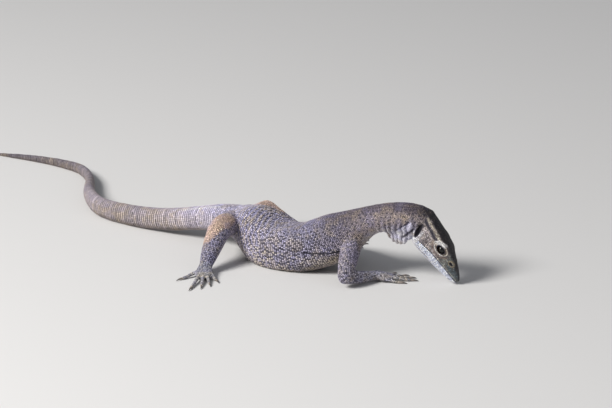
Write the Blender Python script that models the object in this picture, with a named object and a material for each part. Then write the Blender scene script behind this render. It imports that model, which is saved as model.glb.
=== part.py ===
"""A monitor lizard, life size, as a still model: walking, with its head bent down to the ground.

+X runs forward along the trunk, +Y to the animal's left and +Z up. The floor is z = 0.
Lengths are written in millimetres, and MM turns them into Blender's metres.
"""

import math

import bmesh
import bpy
from mathutils import Matrix, Vector

MM = 0.001
GAP = 0.3
UP = Vector((0, 0, 1))

# One station is: forward, left, up, half width, height above, depth below, squareness.
# A squareness of 2 is an ellipse, and a higher one has flatter sides.
TAIL = (
    ("tip", -506, 97, 1.2, 0.8, 1.0, 1.0, 2),
    ("whip", -470, 103, 3.0, 2.4, 3.0, 3.4, 2),
    ("third", -432, 109, 4.4, 3.4, 4.6, 4.8, 2),
    ("second", -392, 111, 5.6, 4.3, 5.8, 6.1, 2),
    ("first", -352, 105, 6.8, 5.1, 6.9, 7.3, 2),
    ("sweep", -312, 78, 8.3, 5.5, 8.4, 8.6, 2),
    ("elbow", -262, 22, 10.6, 8.0, 10.8, 11.1, 2),
    ("bend", -212, -12, 12.3, 9.2, 12.5, 12.8, 2),
    ("middle", -155, -16, 13.4, 10.4, 13.8, 13.9, 2),
    ("slope", -104, -11, 18.0, 12.6, 14.0, 14.3, 2),
    ("base", -58, -5, 27.0, 15.8, 14.8, 14.4, 2.1),
    ("vent", -24, -2, 33.5, 20.0, 17.0, 17.0, 2.2),
)
TRUNK = (
    ("pelvis", 6, 0, 34.0, 23.5, 20.5, 21.5, 2.4),
    ("loin", 34, -6, 32.5, 29.5, 30.0, 31.5, 2.5),
    ("waist", 54, -11, 31.0, 34.5, 27.5, 40.0, 2.5),
    ("belly", 77, -14, 29.5, 36.5, 23.0, 42.0, 2.4),
    ("ribs", 106, -12, 29.0, 35.5, 25.0, 34.0, 2.5),
    ("breast", 131, -5, 34.5, 31.0, 29.0, 30.5, 2.5),
    ("chest", 151, 2, 43.0, 27.5, 30.0, 30.0, 2.4),
    ("shoulder", 171, 9, 56.0, 23.5, 24.0, 23.5, 2.2),
    ("nape", 196, 16, 71.0, 19.0, 17.5, 17.0, 2.1),
    ("arch", 221, 23, 77.5, 18.3, 18.0, 18.6, 2.1),
    ("throat", 242, 30, 78.5, 18.4, 18.6, 21.0, 2.1),
)

# The head is a straight course. Each row is: distance behind the snout, half width, height above,
# depth below and squareness.
SNOUT = Vector((295.2, 54.4, 2.9))
HEAD_WAY = Vector((-0.472, -0.200, 0.859)).normalized()
HEAD_ROWS = (
    (84, 18.5, 17.4, 22.5, 2.2),
    (76, 19.0, 16.8, 23.5, 2.3),
    (66, 19.2, 17.0, 23.6, 2.4),
    (57, 18.8, 18.2, 22.0, 2.6),
    (46, 17.0, 16.8, 19.2, 2.8),
    (35, 14.6, 14.9, 16.6, 2.8),
    (23, 11.6, 11.2, 13.4, 2.6),
    (13, 9.2, 8.0, 10.6, 2.5),
    (6, 7.0, 5.2, 8.2, 2.4),
    (2.5, 5.4, 3.7, 5.8, 2.3),
    (0.8, 3.9, 2.6, 3.9, 2.2),
    (0, 2.4, 1.5, 2.2, 2),
)

# Where the head's rings stand, behind the snout: close together at its rounded tip.
HEAD_RINGS = (0.5, 1.4, 2.8, 4.8, 7.5, 11, 15, 19.5, 24, 29, 34, 39, 44, 49, 54, 59, 64, 70, 77)
# Where the points of a head ring stand: from the crown down to the lip, and from the mouth to the chin.
CROWN_TO_LIP = (0.07, 0.21, 0.36, 0.50, 0.65, 0.80, 0.95)
MOUTH_TO_CHIN = (0.03, 0.20, 0.38, 0.56, 0.74, 0.92)

# Along the head: distance behind the snout, height over the axis, distance out from the middle.
EYE_PLACE = (46.8, 7.0, 11.7)
EYE_RADIUS = 6.0
LID_RADIUS = 7.5
LID_OPENING = (5.6, 3.5, 5.0)
LID_OPENING_OUT = 6.2
LID_TILT = -8
BROW_PLACE = (47, 11.0, 11.2)
BROW_SIZE = (15.0, 4.3, 5.4)
NOSTRIL_PLACE = (24.8, 7.1, 10.3)
NOSTRIL_SIZE = (2.3, 1.0, 2.2)
NOSTRIL_RIM = (4.6, 2.9, 1.9)
NOSTRIL_RIM_SINK = 1.2
EAR_PLACE = (76.5, -3.4, 19.2)
EAR_SIZE = (2.6, 7.2, 3.4)
EAR_RIM = (4.4, 9.2, 1.9)
EAR_RIM_SINK = 1.5
EAR_LEAN = 32
MOUTH_START = -1.1
MOUTH_SLOPE = -0.08
MOUTH_CORNER = 58
# The upper lip stands out over the lower jaw by this much, and the step fades over the last of the mouth.
LIP_STEP = 1.1
LIP_SWELL = 0.5
LIP_FADE = 9
# The snout's half width from which the step is whole.
LIP_FULL_WIDTH = 10
BALL_SIDES = (14, 9)

# The loose throat skin that hangs under the front of the neck.
POUCH_CENTRE = Vector((228, 26, 61))
POUCH_SIZE = (19, 10.5, 16.5)

# Where each limb's joints are, and how thick it is there: forward, left, up, half width, half height.
RIGHT_ARM = (
    (172, 16, 48, 13, 15),
    (180, -4, 41, 12.0, 14.5),
    (189, -24, 29, 11.8, 12.2),
    (197, -40, 15.0, 9.4, 10.0),
    (204, -22, 10.0, 7.8, 7.8),
    (210, 3, 7.4, 6.2, 5.4),
)
LEFT_ARM = (
    (170, 2, 48, 14, 15),
    (165, 24, 42, 13.8, 15.5),
    (147, 41, 33, 11.8, 12.2),
    (129, 55, 23, 9.4, 10.0),
    (111, 64, 14.0, 7.8, 7.8),
    (93, 72, 7.4, 6.2, 5.4),
)
RIGHT_LEG = (
    (2, 4, 36, 18, 16),
    (6, -22, 37, 17.5, 15.5),
    (15, -46, 42, 15.5, 14.5),
    (22, -66, 40, 14.0, 14.0),
    (27, -85, 25, 11.6, 12.4),
    (31, -101, 9.0, 8.0, 8.0),
)
LEFT_LEG = (
    (2, -4, 36, 18, 16),
    (-2, 22, 33, 17.5, 15.5),
    (-8, 46, 28, 14.5, 13.5),
    (-10, 69, 29, 12.0, 12.0),
    (10, 74, 18, 10.2, 10.6),
    (34, 78, 9.0, 8.0, 8.0),
)
JOINT_ROW = 3
# Where the rings of a limb end's dome stand, in degrees round it.
DOME_TURNS = (25, 50, 72)

# Fingers and toes, first to fifth: length, angle out from the middle, root back from the knuckles.
FINGERS = ((13, 38, 5), (19, 16, 1), (24, 4, 0), (25, -6, 0), (18, -15, 7))
TOES = ((13, 30, 7), (20, 14, 2), (27, 2, 0), (35, -10, 0), (22, -46, 13))
HAND = {"palm": 17, "half_width": 11.6, "digits": FINGERS, "thick": 2.3}
FOOT = {"palm": 25, "half_width": 11.6, "digits": TOES, "thick": 2.6}
RIGHT_HAND_TURN = 44
LEFT_HAND_TURN = 68
RIGHT_FOOT_TURN = -57
LEFT_FOOT_TURN = 36
# Along a digit: share of its length, height of its middle, share of its thickness.
DIGIT_ROWS = ((-0.30, 5.0, 1.0), (0, 4.8, 1.0), (0.3, 4.4, 0.95), (0.65, 2.6, 0.84), (1, 1.7, 0.8))
CLAW_LENGTH = 9.0
CLAW_HALF_WIDTH = 1.15
CLAW_HALF_HEIGHT = 1.6
CLAW_ARCH = 0.5
CLAW_DROOP = 1.1
CLAW_TAPER = 0.86
CLAW_RINGS = 6

BODY_SIDES = 22
TAIL_SIDES = 14
LIMB_SIDES = 14
DIGIT_SIDES = 7
CLAW_SIDES = 6
RING_STEP = 8.5
BODY_REACH = 15
LIMB_REACH = 7
DIGIT_REACH = 1.5
TAIL_CUTS = ("vent", "slope", "middle", "elbow", "first", "third", "tip")

MATERIALS = {
    "back_skin": ((0.235, 0.205, 0.175, 1), 0.62, 0),
    "tail_skin": ((0.330, 0.275, 0.215, 1), 0.62, 0),
    "limb_skin": ((0.215, 0.190, 0.170, 1), 0.62, 0),
    "jaw_skin": ((0.470, 0.440, 0.400, 1), 0.58, 0),
    "eyeball": ((0.020, 0.014, 0.010, 1), 0.08, 0),
    "claw_horn": ((0.050, 0.040, 0.034, 1), 0.35, 0),
}


def clear_scene():
    """Take out whatever the file opened with."""
    for thing in list(bpy.data.objects):
        bpy.data.objects.remove(thing, do_unlink=True)


def material(name):
    """The named finish, made the first time that it is asked for."""
    made = bpy.data.materials.get(name)
    if made is None:
        colour, roughness, metallic = MATERIALS[name]
        made = bpy.data.materials.new(name)
        made.use_nodes = True
        shader = made.node_tree.nodes["Principled BSDF"]
        shader.inputs["Base Color"].default_value = colour
        shader.inputs["Roughness"].default_value = roughness
        shader.inputs["Metallic"].default_value = metallic
    return made


def add_object(name, mesh_source, finish):
    """An object from a bmesh, shaded smooth, with its finish."""
    bmesh.ops.recalc_face_normals(mesh_source, faces=mesh_source.faces)
    mesh = bpy.data.meshes.new(name)
    mesh_source.to_mesh(mesh)
    mesh_source.free()
    mesh.shade_smooth()
    mesh.set_sharp_from_angle(angle=math.radians(50))
    made = bpy.data.objects.new(name, mesh)
    made.data.materials.append(material(finish))
    bpy.context.scene.collection.objects.link(made)
    return made


class Course:
    """A smooth run through stations, read by the distance along it."""

    def __init__(self, rows, reach):
        self.rows = [list(row) for row in rows]
        self.reach = reach
        self.knots = [0.0]
        for before, after in zip(self.rows, self.rows[1:]):
            self.knots.append(self.knots[-1] + math.dist(before[:3], after[:3]))

    def slope(self, i):
        """How each value of station i changes along the course."""
        low, high = max(i - 1, 0), min(i + 1, len(self.rows) - 1)
        span = self.knots[high] - self.knots[low]
        return [(b - a) / span for a, b in zip(self.rows[low], self.rows[high])]

    def values(self, distance):
        """Every value of the station at this distance, by cubic interpolation."""
        distance = min(max(distance, 0), self.knots[-1])
        i = max(k for k in range(len(self.knots) - 1) if self.knots[k] <= distance)
        span = self.knots[i + 1] - self.knots[i]
        t = (distance - self.knots[i]) / span
        start_weight = 2 * t**3 - 3 * t**2 + 1
        end_weight = 1 - start_weight
        out_weight = (t**3 - 2 * t**2 + t) * span
        in_weight = (t**3 - t**2) * span
        return [
            start_weight * a + end_weight * b + out_weight * c + in_weight * d
            for a, b, c, d in zip(self.rows[i], self.rows[i + 1], self.slope(i), self.slope(i + 1))
        ]

    def frame(self, distance):
        """Centre, way forward, way to the side and way up, at this distance."""
        centre = Vector(self.values(distance)[:3])
        behind = Vector(self.values(distance - self.reach)[:3])
        ahead = Vector(self.values(distance + self.reach)[:3])
        way = (ahead - behind).normalized()
        side = UP.cross(way).normalized()
        return centre, way, side, way.cross(side)

    def ring(self, distance, sides, grow=0.0, shift=0.0):
        """The outline of the flesh at this distance."""
        half_width, above, below, squareness = self.values(distance)[3:7]
        centre, way, side, up = self.frame(distance)
        centre = centre + way * shift
        power = 2 / squareness
        points = []
        for k in range(sides):
            angle = 2 * math.pi * (k + 0.5) / sides
            across, rise = math.cos(angle), math.sin(angle)
            height = (above if rise > 0 else below) + grow
            out = math.copysign(abs(across) ** power, across) * (half_width + grow)
            lift = math.copysign(abs(rise) ** power, rise) * height
            points.append(centre + side * out + up * lift)
        return points


def body_course():
    """The whole animal's course, from the tip of the tail to the snout."""
    rows = [row[1:] for row in TAIL + TRUNK]
    for behind, half_width, above, below, squareness in HEAD_ROWS:
        centre = SNOUT + HEAD_WAY * behind
        rows.append((*centre, half_width, above, below, squareness))
    return Course(rows, BODY_REACH)


def station_distance(course, name):
    """How far along the body's course a named station is."""
    names = [row[0] for row in TAIL + TRUNK]
    return course.knots[names.index(name)]


def floored(rings):
    """The same rings, with every point that is under the floor brought up to it."""
    for ring in rings:
        for point in ring:
            point.z = max(point.z, 0)
    return rings


def loft(rings):
    """A closed tube through rings of points, with flat ends, as a bmesh in metres."""
    tube = bmesh.new()
    loops = [[tube.verts.new(point * MM) for point in ring] for ring in rings]
    sides = len(loops[0])
    for low, high in zip(loops, loops[1:]):
        for k in range(sides):
            after = (k + 1) % sides
            tube.faces.new((low[k], low[after], high[after], high[k]))
    tube.faces.new(loops[0])
    tube.faces.new(loops[-1])
    return tube


def course_rings(course, start, end, sides, grow=0.0):
    """Rings from start to end of a course. The end rings stand half a gap inside, or outside if grown."""
    count = max(2, round((end - start) / RING_STEP))
    rings = []
    for i in range(count + 1):
        shift = (GAP / 2 - grow * 2) * ((i == 0) - (i == count))
        distance = start + (end - start) * i / count
        rings.append(course.ring(distance, sides, grow, shift))
    return floored(rings)


def scaled_ball(centre, ways, sizes, segments=16, rings=10):
    """An ellipsoid as a bmesh: ways are its three unit axes and sizes its half lengths."""
    ball = bmesh.new()
    bmesh.ops.create_uvsphere(ball, u_segments=segments, v_segments=rings, radius=1)
    turn = Matrix(ways).transposed().to_4x4()
    stretch = Matrix.Diagonal((*[size * MM for size in sizes], 1))
    bmesh.ops.transform(ball, matrix=Matrix.Translation(centre * MM) @ turn @ stretch, verts=ball.verts)
    return ball


def combine(target, tools, operation):
    """Join the tools to the target, or cut them from it, and take the tools away."""
    group = bpy.data.collections.new("tools")
    bpy.context.scene.collection.children.link(group)
    for tool in tools:
        bpy.context.scene.collection.objects.unlink(tool)
        group.objects.link(tool)
    change = target.modifiers.new("combine", "BOOLEAN")
    change.operation = operation
    change.operand_type = "COLLECTION"
    change.collection = group
    change.solver = "EXACT"
    bpy.context.view_layer.update()
    graph = bpy.context.evaluated_depsgraph_get()
    mesh = bpy.data.meshes.new_from_object(target.evaluated_get(graph))
    target.modifiers.remove(change)
    target.data = mesh
    for tool in tools:
        bpy.data.objects.remove(tool, do_unlink=True)
    bpy.data.collections.remove(group)
    keep_largest(target)


def keep_largest(target):
    """Leave only the target's largest closed surface."""
    shape = bmesh.new()
    shape.from_mesh(target.data)
    bmesh.ops.remove_doubles(shape, verts=shape.verts, dist=0.000001)
    bmesh.ops.dissolve_degenerate(shape, edges=shape.edges, dist=0.000001)
    left = set(shape.verts)
    pieces = []
    while left:
        piece, edge = set(), [left.pop()]
        while edge:
            vert = edge.pop()
            piece.add(vert)
            near = {e.other_vert(vert) for e in vert.link_edges} & left
            left -= near
            edge.extend(near)
        pieces.append(piece)
    largest = max(pieces, key=len)
    bmesh.ops.delete(shape, geom=[v for v in shape.verts if v not in largest], context="VERTS")
    bmesh.ops.triangulate(shape, faces=shape.faces)
    shape.to_mesh(target.data)
    shape.free()
    target.data.shade_smooth()
    target.data.set_sharp_from_angle(angle=math.radians(50))


def body_piece(course, name, start, end, finish, sides, grow=0.0):
    """One length of the body, cut square across its course."""
    return add_object(name, loft(course_rings(course, start, end, sides, grow=grow)), finish)


def head_frame():
    """The head's ways: back from the snout, to the left, and out of the crown."""
    back = HEAD_WAY
    left = UP.cross(-back).normalized()
    crown = (-back).cross(left)
    return back, left, crown


def on_head(place, side=1):
    """A point given along, over and out from the head's axis, on one side of it."""
    behind, over, out = place
    back, left, crown = head_frame()
    return SNOUT + back * behind + crown * over + left * out * side


def head_ring(course, behind, shift=0.0):
    """The outline of the head at this distance behind the snout, with a step under the upper lip."""
    distance = course.knots[-1] - behind
    half_width, above, below, squareness = course.values(distance)[3:7]
    centre, way, side, up = course.frame(distance)
    centre = centre + way * shift
    power = 2 / squareness
    mouth_depth = -MOUTH_START - MOUTH_SLOPE * behind
    lip = math.asin(min(mouth_depth / below, 0.9) ** (squareness / 2))
    step = min(1, max(0, (MOUTH_CORNER - behind) / LIP_FADE), half_width / LIP_FULL_WIDTH)
    places = [(math.pi / 2 - (math.pi / 2 + lip) * share, 0) for share in CROWN_TO_LIP]
    places[-1] = (places[-1][0], LIP_SWELL * step)
    for share in MOUTH_TO_CHIN:
        places.append((-lip - (math.pi / 2 - lip) * share, -LIP_STEP * step * (1 - share)))
    offsets = []
    for angle, swell in places:
        out = half_width * math.cos(angle) ** power + swell
        lift = math.copysign(abs(math.sin(angle)) ** power, angle) * (above if angle > 0 else below)
        offsets.append((out, lift))
    ring = [centre + side * out + up * lift for out, lift in offsets]
    return ring + [centre - side * out + up * lift for out, lift in offsets[::-1]]


def jaw_block(grow):
    """A block round the lower jaw, as far back as the corner of the mouth."""
    back, left, crown = head_frame()
    lean = (back + crown * MOUTH_SLOPE).normalized()
    face = left.cross(lean)
    start = SNOUT + crown * MOUTH_START
    far = 60  # beyond the jaw on every open side
    block = bmesh.new()
    verts = [
        block.verts.new((start + lean * along + left * out + face * over) * MM)
        for along in (-far, MOUTH_CORNER + grow)
        for out in (-far, far)
        for over in (-far, grow)
    ]
    for quad in ((0, 1, 3, 2), (4, 6, 7, 5), (0, 2, 6, 4), (1, 5, 7, 3), (0, 4, 5, 1), (2, 3, 7, 6)):
        block.faces.new([verts[k] for k in quad])
    return block


def head_ball(place, side, ways, sizes, sink=0.0):
    """An ellipsoid on one side of the head, to be joined to it or cut from it."""
    centre = on_head((place[0], place[1], place[2] - sink), side)
    return add_object("ball", scaled_ball(centre, ways, sizes, *BALL_SIDES), "back_skin")


def whole_head(course):
    """The head in one piece, with brows, lids, eye sockets, nostrils and ears."""
    neck_end = course.knots[-1] - course.knots[len(TAIL + TRUNK)]
    rings = [head_ring(course, 0, -GAP / 2)]
    rings += [head_ring(course, behind) for behind in HEAD_RINGS]
    rings.append(head_ring(course, neck_end, GAP / 2))
    head = add_object("head", loft(floored(rings)), "back_skin")
    back, left, crown = head_frame()
    ways = (back, crown, left)
    tilt = math.radians(LID_TILT)
    along = back * math.cos(tilt) + crown * math.sin(tilt)
    lid_ways = (along, left.cross(along), left)
    lean = math.radians(EAR_LEAN)
    ear_up = crown * math.cos(lean) + back * math.sin(lean)
    ear_ways = (ear_up.cross(left), ear_up, left)
    added, cut = [], []
    for side in (1, -1):
        added.append(head_ball(BROW_PLACE, side, ways, BROW_SIZE))
        added.append(head_ball(EYE_PLACE, side, ways, (LID_RADIUS,) * 3))
        added.append(head_ball(NOSTRIL_PLACE, side, ways, NOSTRIL_RIM, NOSTRIL_RIM_SINK))
        added.append(head_ball(EAR_PLACE, side, ear_ways, EAR_RIM, EAR_RIM_SINK))
        cut.append(head_ball(EYE_PLACE, side, ways, (EYE_RADIUS + GAP,) * 3))
        cut.append(head_ball(EYE_PLACE, side, lid_ways, LID_OPENING, -LID_OPENING_OUT))
        cut.append(head_ball(NOSTRIL_PLACE, side, ways, NOSTRIL_SIZE))
        cut.append(head_ball(EAR_PLACE, side, ear_ways, EAR_SIZE))
    combine(head, added, "UNION")
    combine(head, cut, "DIFFERENCE")
    return head


def make_head(course):
    """The head, the lower jaw and the two eyes."""
    head = whole_head(course)
    jaw = head.copy()
    jaw.data = head.data.copy()
    jaw.name = "lower_jaw"
    bpy.context.scene.collection.objects.link(jaw)
    combine(head, [add_object("gape", jaw_block(GAP / 2), "jaw_skin")], "DIFFERENCE")
    combine(jaw, [add_object("chin", jaw_block(-GAP / 2), "jaw_skin")], "INTERSECT")
    jaw.data.materials.clear()
    jaw.data.materials.append(material("jaw_skin"))
    back, left, crown = head_frame()
    for name, side in (("left_eye", 1), ("right_eye", -1)):
        ball = scaled_ball(on_head(EYE_PLACE, side), (back, crown, left), (EYE_RADIUS,) * 3)
        add_object(name, ball, "eyeball")


def make_body(course):
    """The neck, the torso and the lengths of the tail."""
    shoulder = station_distance(course, "shoulder")
    vent = station_distance(course, "vent")
    head_start = course.knots[len(TAIL + TRUNK)]
    neck = body_piece(course, "neck", shoulder, head_start, "back_skin", BODY_SIDES)
    ways = (Vector((1, 0, 0)), Vector((0, 1, 0)), UP)
    combine(neck, [add_object("pouch", scaled_ball(POUCH_CENTRE, ways, POUCH_SIZE), "back_skin")], "UNION")
    centre, way, _, _ = course.frame(head_start)
    combine(neck, [half_space(centre - way * (GAP / 2), way)], "DIFFERENCE")
    body_piece(course, "torso", vent, shoulder, "back_skin", BODY_SIDES)
    for i, (near, far) in enumerate(zip(TAIL_CUTS, TAIL_CUTS[1:])):
        start, end = station_distance(course, far), station_distance(course, near)
        sides = BODY_SIDES if i == 0 else TAIL_SIDES
        body_piece(course, f"tail_{i + 1}", start, end, "tail_skin", sides)


def limb_course(rows):
    """A limb's course, with elliptical sections."""
    return Course([(*row[:3], row[3], row[4], row[4], 2) for row in rows], LIMB_REACH)


def domed_rings(course, first, last):
    """The rings of a limb's length. Either end may close in a dome, for a joint."""
    count = max(2, round(course.knots[-1] / RING_STEP))
    rings = [course.ring(course.knots[-1] * i / count, LIMB_SIDES) for i in range(count + 1)]
    before = dome(course, 0, -1) if first else []
    after = dome(course, course.knots[-1], 1) if last else []
    return before[::-1] + rings + after


def dome(course, distance, side):
    """Three smaller rings that round off an end of a limb's length."""
    centre, way, _, _ = course.frame(distance)
    edge = course.ring(distance, LIMB_SIDES)
    reach = course.values(distance)[3] * side
    rings = []
    for degrees in DOME_TURNS:
        turn = math.radians(degrees)
        middle = centre + way * (reach * math.sin(turn))
        rings.append([middle + (point - centre) * math.cos(turn) for point in edge])
    return rings


def half_space(point, way):
    """A block that fills the space from a point onward."""
    block = bmesh.new()
    half = 90  # more than any length that it cuts
    bmesh.ops.create_cube(block, size=2 * half * MM)
    turn = way.to_track_quat("Z", "Y").to_matrix().to_4x4()
    place = Matrix.Translation((point + way * half) * MM)
    bmesh.ops.transform(block, matrix=place @ turn, verts=block.verts)
    return add_object("beyond", block, "limb_skin")


def mitre(near, far, near_course, far_course):
    """Cut two lengths of a limb back to a plane that shares the angle of the joint between them."""
    joint = Vector(far_course.rows[0][:3])
    way = near_course.frame(near_course.knots[-1])[1] + far_course.frame(0)[1]
    way.normalize()
    combine(near, [half_space(joint - way * (GAP / 2), way)], "DIFFERENCE")
    combine(far, [half_space(joint + way * (GAP / 2), -way)], "DIFFERENCE")


def make_limb(body, rows, names, shape, turn, side):
    """One limb. Its root is cut to the body's own surface, and its joints are mitred."""
    upper_name, lower_name, paw_name = names
    upper_course, lower_course = limb_course(rows[:JOINT_ROW + 1]), limb_course(rows[JOINT_ROW:])
    upper = add_object(upper_name, loft(domed_rings(upper_course, False, True)), "limb_skin")
    lower = add_object(lower_name, loft(domed_rings(lower_course, True, True)), "limb_skin")
    paw, palm = make_paw(lower_course.rows[-1], shape, turn, side, paw_name)
    mitre(upper, lower, upper_course, lower_course)
    mitre(lower, paw, lower_course, palm)
    shoulder, vent = station_distance(body, "shoulder"), station_distance(body, "vent")
    tools = [
        body_piece(body, "near", vent, shoulder, "back_skin", BODY_SIDES, GAP),
        body_piece(body, "front", shoulder, body.knots[len(TAIL + TRUNK)], "back_skin", BODY_SIDES, GAP),
        body_piece(body, "rear", station_distance(body, "slope"), vent, "back_skin", BODY_SIDES, GAP),
    ]
    for tool in tools:
        combine(upper, [tool], "DIFFERENCE")
    floor = Vector((*rows[-1][:2], 0))
    for piece in (lower, paw):
        combine(piece, [half_space(floor, -UP)], "DIFFERENCE")


def digit_course(root, way, length, thick):
    """One finger or toe: it rises a little past its root and comes down flat on the floor."""
    rows = []
    for share, height, size in DIGIT_ROWS:
        point = root + way * (length * share)
        half = thick * size
        rows.append((point.x, point.y, height, half, half, half, 2))
    return Course(rows, DIGIT_REACH)


def claw_rings(course):
    """The rings of one claw, which carries on from its digit and hooks down to the floor."""
    centre, way, side, up = course.frame(course.knots[-1])
    start = centre + way * GAP
    level = Vector((way.x, way.y, 0)).normalized()
    rings = []
    for i in range(CLAW_RINGS):
        share = i / (CLAW_RINGS - 1)
        taper = 1 - CLAW_TAPER * share**1.3
        middle = start + level * (CLAW_LENGTH * share)
        middle.z = start.z + CLAW_ARCH * math.sin(math.pi * share) - CLAW_DROOP * share**2
        rise = up.lerp(UP, min(share * 2, 1)).normalized()
        ring = []
        for k in range(CLAW_SIDES):
            angle = 2 * math.pi * (k + 0.5) / CLAW_SIDES
            out = math.cos(angle) * CLAW_HALF_WIDTH * taper
            lift = math.sin(angle) * CLAW_HALF_HEIGHT * taper
            ring.append(middle + side * out + rise * lift)
        rings.append(ring)
    return floored(rings)


def palm_course(wrist, shape, ahead):
    """The palm, from the wrist to a little past the knuckles."""
    start, radius = Vector(wrist[:3]), wrist[3]
    length, half_width = shape["palm"], shape["half_width"]
    knuckles = start + ahead * length
    rows = (
        (*start, radius, radius, radius, 2),
        (*(start + ahead * length * 0.35 - UP * 1.2), half_width * 0.82, 5.2, 6.4, 2.2),
        (*(knuckles - ahead * 4).xy, 4.9, half_width, 4.4, 5.2, 2.4),
        (*(knuckles + ahead * 2.5).xy, 4.2, half_width * 0.72, 2.8, 4.4, 2.2),
    )
    return Course(rows, LIMB_REACH)


def make_paw(wrist, shape, turn, side, name):
    """The palm with its five digits, joined into one piece, and its five claws."""
    ahead = Matrix.Rotation(math.radians(turn), 3, "Z") @ Vector((1, 0, 0))
    across = UP.cross(ahead)
    palm = palm_course(wrist, shape, ahead)
    paw = add_object(name, loft(domed_rings(palm, True, False)), "limb_skin")
    knuckles = Vector(wrist[:3]) + ahead * shape["palm"]
    digits = []
    for i, (length, spread, setback) in enumerate(shape["digits"]):
        way = Matrix.Rotation(math.radians(-side * spread), 3, "Z") @ ahead
        slot = (2 - i) / 2 * (shape["half_width"] - shape["thick"] * 0.9)
        root = knuckles - ahead * setback - across * (slot * side)
        digit = digit_course(root, way, length, shape["thick"])
        rings = [digit.ring(digit.knots[-1] * k / 6, DIGIT_SIDES) for k in range(7)]
        digits.append(add_object("digit", loft(rings), "limb_skin"))
        add_object(f"{name}_claw_{i + 1}", loft(claw_rings(digit)), "claw_horn")
    combine(paw, digits, "UNION")
    return paw, palm


def centre_on_floor():
    """Put the origin under the middle of the model."""
    corners = [v.co for thing in bpy.context.scene.objects for v in thing.data.vertices]
    low = [min(c[k] for c in corners) for k in range(2)]
    high = [max(c[k] for c in corners) for k in range(2)]
    shift = Matrix.Translation((-(low[0] + high[0]) / 2, -(low[1] + high[1]) / 2, 0))
    for thing in bpy.context.scene.objects:
        thing.data.transform(shift)


def main():
    """Make every piece."""
    clear_scene()
    body = body_course()
    make_head(body)
    make_body(body)
    limbs = (
        (RIGHT_ARM, ("right_upper_arm", "right_forearm", "right_hand"), HAND, RIGHT_HAND_TURN, -1),
        (LEFT_ARM, ("left_upper_arm", "left_forearm", "left_hand"), HAND, LEFT_HAND_TURN, 1),
        (RIGHT_LEG, ("right_thigh", "right_shank", "right_foot"), FOOT, RIGHT_FOOT_TURN, -1),
        (LEFT_LEG, ("left_thigh", "left_shank", "left_foot"), FOOT, LEFT_FOOT_TURN, 1),
    )
    for rows, names, shape, turn, side in limbs:
        make_limb(body, rows, names, shape, turn, side)
    centre_on_floor()


main()
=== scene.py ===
# %% [markdown]
# # A monitor lizard, as a still model
#
# The animal walks with its head bent down to the ground and its tail in a double bend.
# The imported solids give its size, its pose and the place of every part. This lesson
# gives it a living surface: one skin with folds, lids and lips, tens of thousands of
# small scales that lie along the body, two eyes and twenty claws.

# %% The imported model
import math

import bpy
import numpy as np
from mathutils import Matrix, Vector
from mathutils.bvhtree import BVHTree
from mathutils.kdtree import KDTree


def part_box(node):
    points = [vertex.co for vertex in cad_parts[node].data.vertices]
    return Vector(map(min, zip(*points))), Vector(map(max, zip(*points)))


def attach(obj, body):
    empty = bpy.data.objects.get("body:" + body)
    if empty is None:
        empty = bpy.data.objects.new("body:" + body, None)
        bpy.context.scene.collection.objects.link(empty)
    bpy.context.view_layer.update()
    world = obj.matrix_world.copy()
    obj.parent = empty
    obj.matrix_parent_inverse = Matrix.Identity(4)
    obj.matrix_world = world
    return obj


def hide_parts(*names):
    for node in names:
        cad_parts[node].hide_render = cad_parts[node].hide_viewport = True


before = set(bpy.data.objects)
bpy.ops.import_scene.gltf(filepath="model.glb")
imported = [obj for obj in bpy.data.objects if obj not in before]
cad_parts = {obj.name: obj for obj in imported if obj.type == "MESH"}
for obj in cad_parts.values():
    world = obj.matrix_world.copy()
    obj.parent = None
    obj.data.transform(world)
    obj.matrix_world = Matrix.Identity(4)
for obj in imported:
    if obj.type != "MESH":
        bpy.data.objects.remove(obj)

MM = 0.001
TINY = 1e-9
UP = np.array((0.0, 0.0, 1.0))
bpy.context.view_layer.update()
bpy.ops.object.select_all(action="DESELECT")

# %% [markdown]
# ## The place of everything
#
# The animal was laid out from a point between its hips. The model's own origin is
# elsewhere, under the middle of the whole shape, so the right eye, whose place is known
# in both, gives the way from one to the other. Lengths below are in millimetres.

# %% From the hips to the model's origin
RIGHT_EYE = np.array((283.217, 36.616, 46.675))


def node_middle(name):
    """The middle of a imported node's box, in millimetres."""
    low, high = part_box(name)
    return (np.array(low) + np.array(high)) / 2 / MM


ORIGIN = node_middle("right_eye") - RIGHT_EYE
ORIGIN[2] = 0
print("the hips stand at", ORIGIN.round(2), "mm")

# %% [markdown]
# ## The camera
#
# A long lens from 4.7 metres away, 18 degrees above the ground, looks at the animal's
# right side from a little ahead. It comes first, because every later step is judged
# through it.

# %% The camera
CAMERA_FROM_EYE = np.array((2429.05, -3372.28, 1405.70))
TARGET_FROM_EYE = np.array((-322.94, 150.11, -46.68))
LENS = 216.09


def add_object(name, data):
    """An object with this data, in the scene."""
    thing = bpy.data.objects.new(name, data)
    bpy.context.scene.collection.objects.link(thing)
    return thing


eye_place = node_middle("right_eye")
camera_place = (eye_place + CAMERA_FROM_EYE) * MM
camera_target = (eye_place + TARGET_FROM_EYE) * MM
camera_data = bpy.data.cameras.new("camera")
camera_data.lens = LENS
camera_data.sensor_width = 36
camera_data.clip_start = 0.1
camera_data.clip_end = 50
camera = add_object("camera", camera_data)
camera.location = camera_place
camera.rotation_euler = Vector(camera_target - camera_place).to_track_quat("-Z", "Y").to_euler()
bpy.context.scene.camera = camera
print("the camera stands", round(float(np.linalg.norm(camera_target - camera_place)), 3), "m from its target")

# %% [markdown]
# ## The lines of the body
#
# A scale knows two things: how far along the body it sits, and how far round it. So the
# trunk, the head and each limb get a line that runs through their middle. The lines are
# smooth curves through a few points, sampled every half millimetre, with three ways at
# each sample: along the line, to the side, and up out of the back.

# %% A line through a few points
SAMPLE = 0.5


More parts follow.
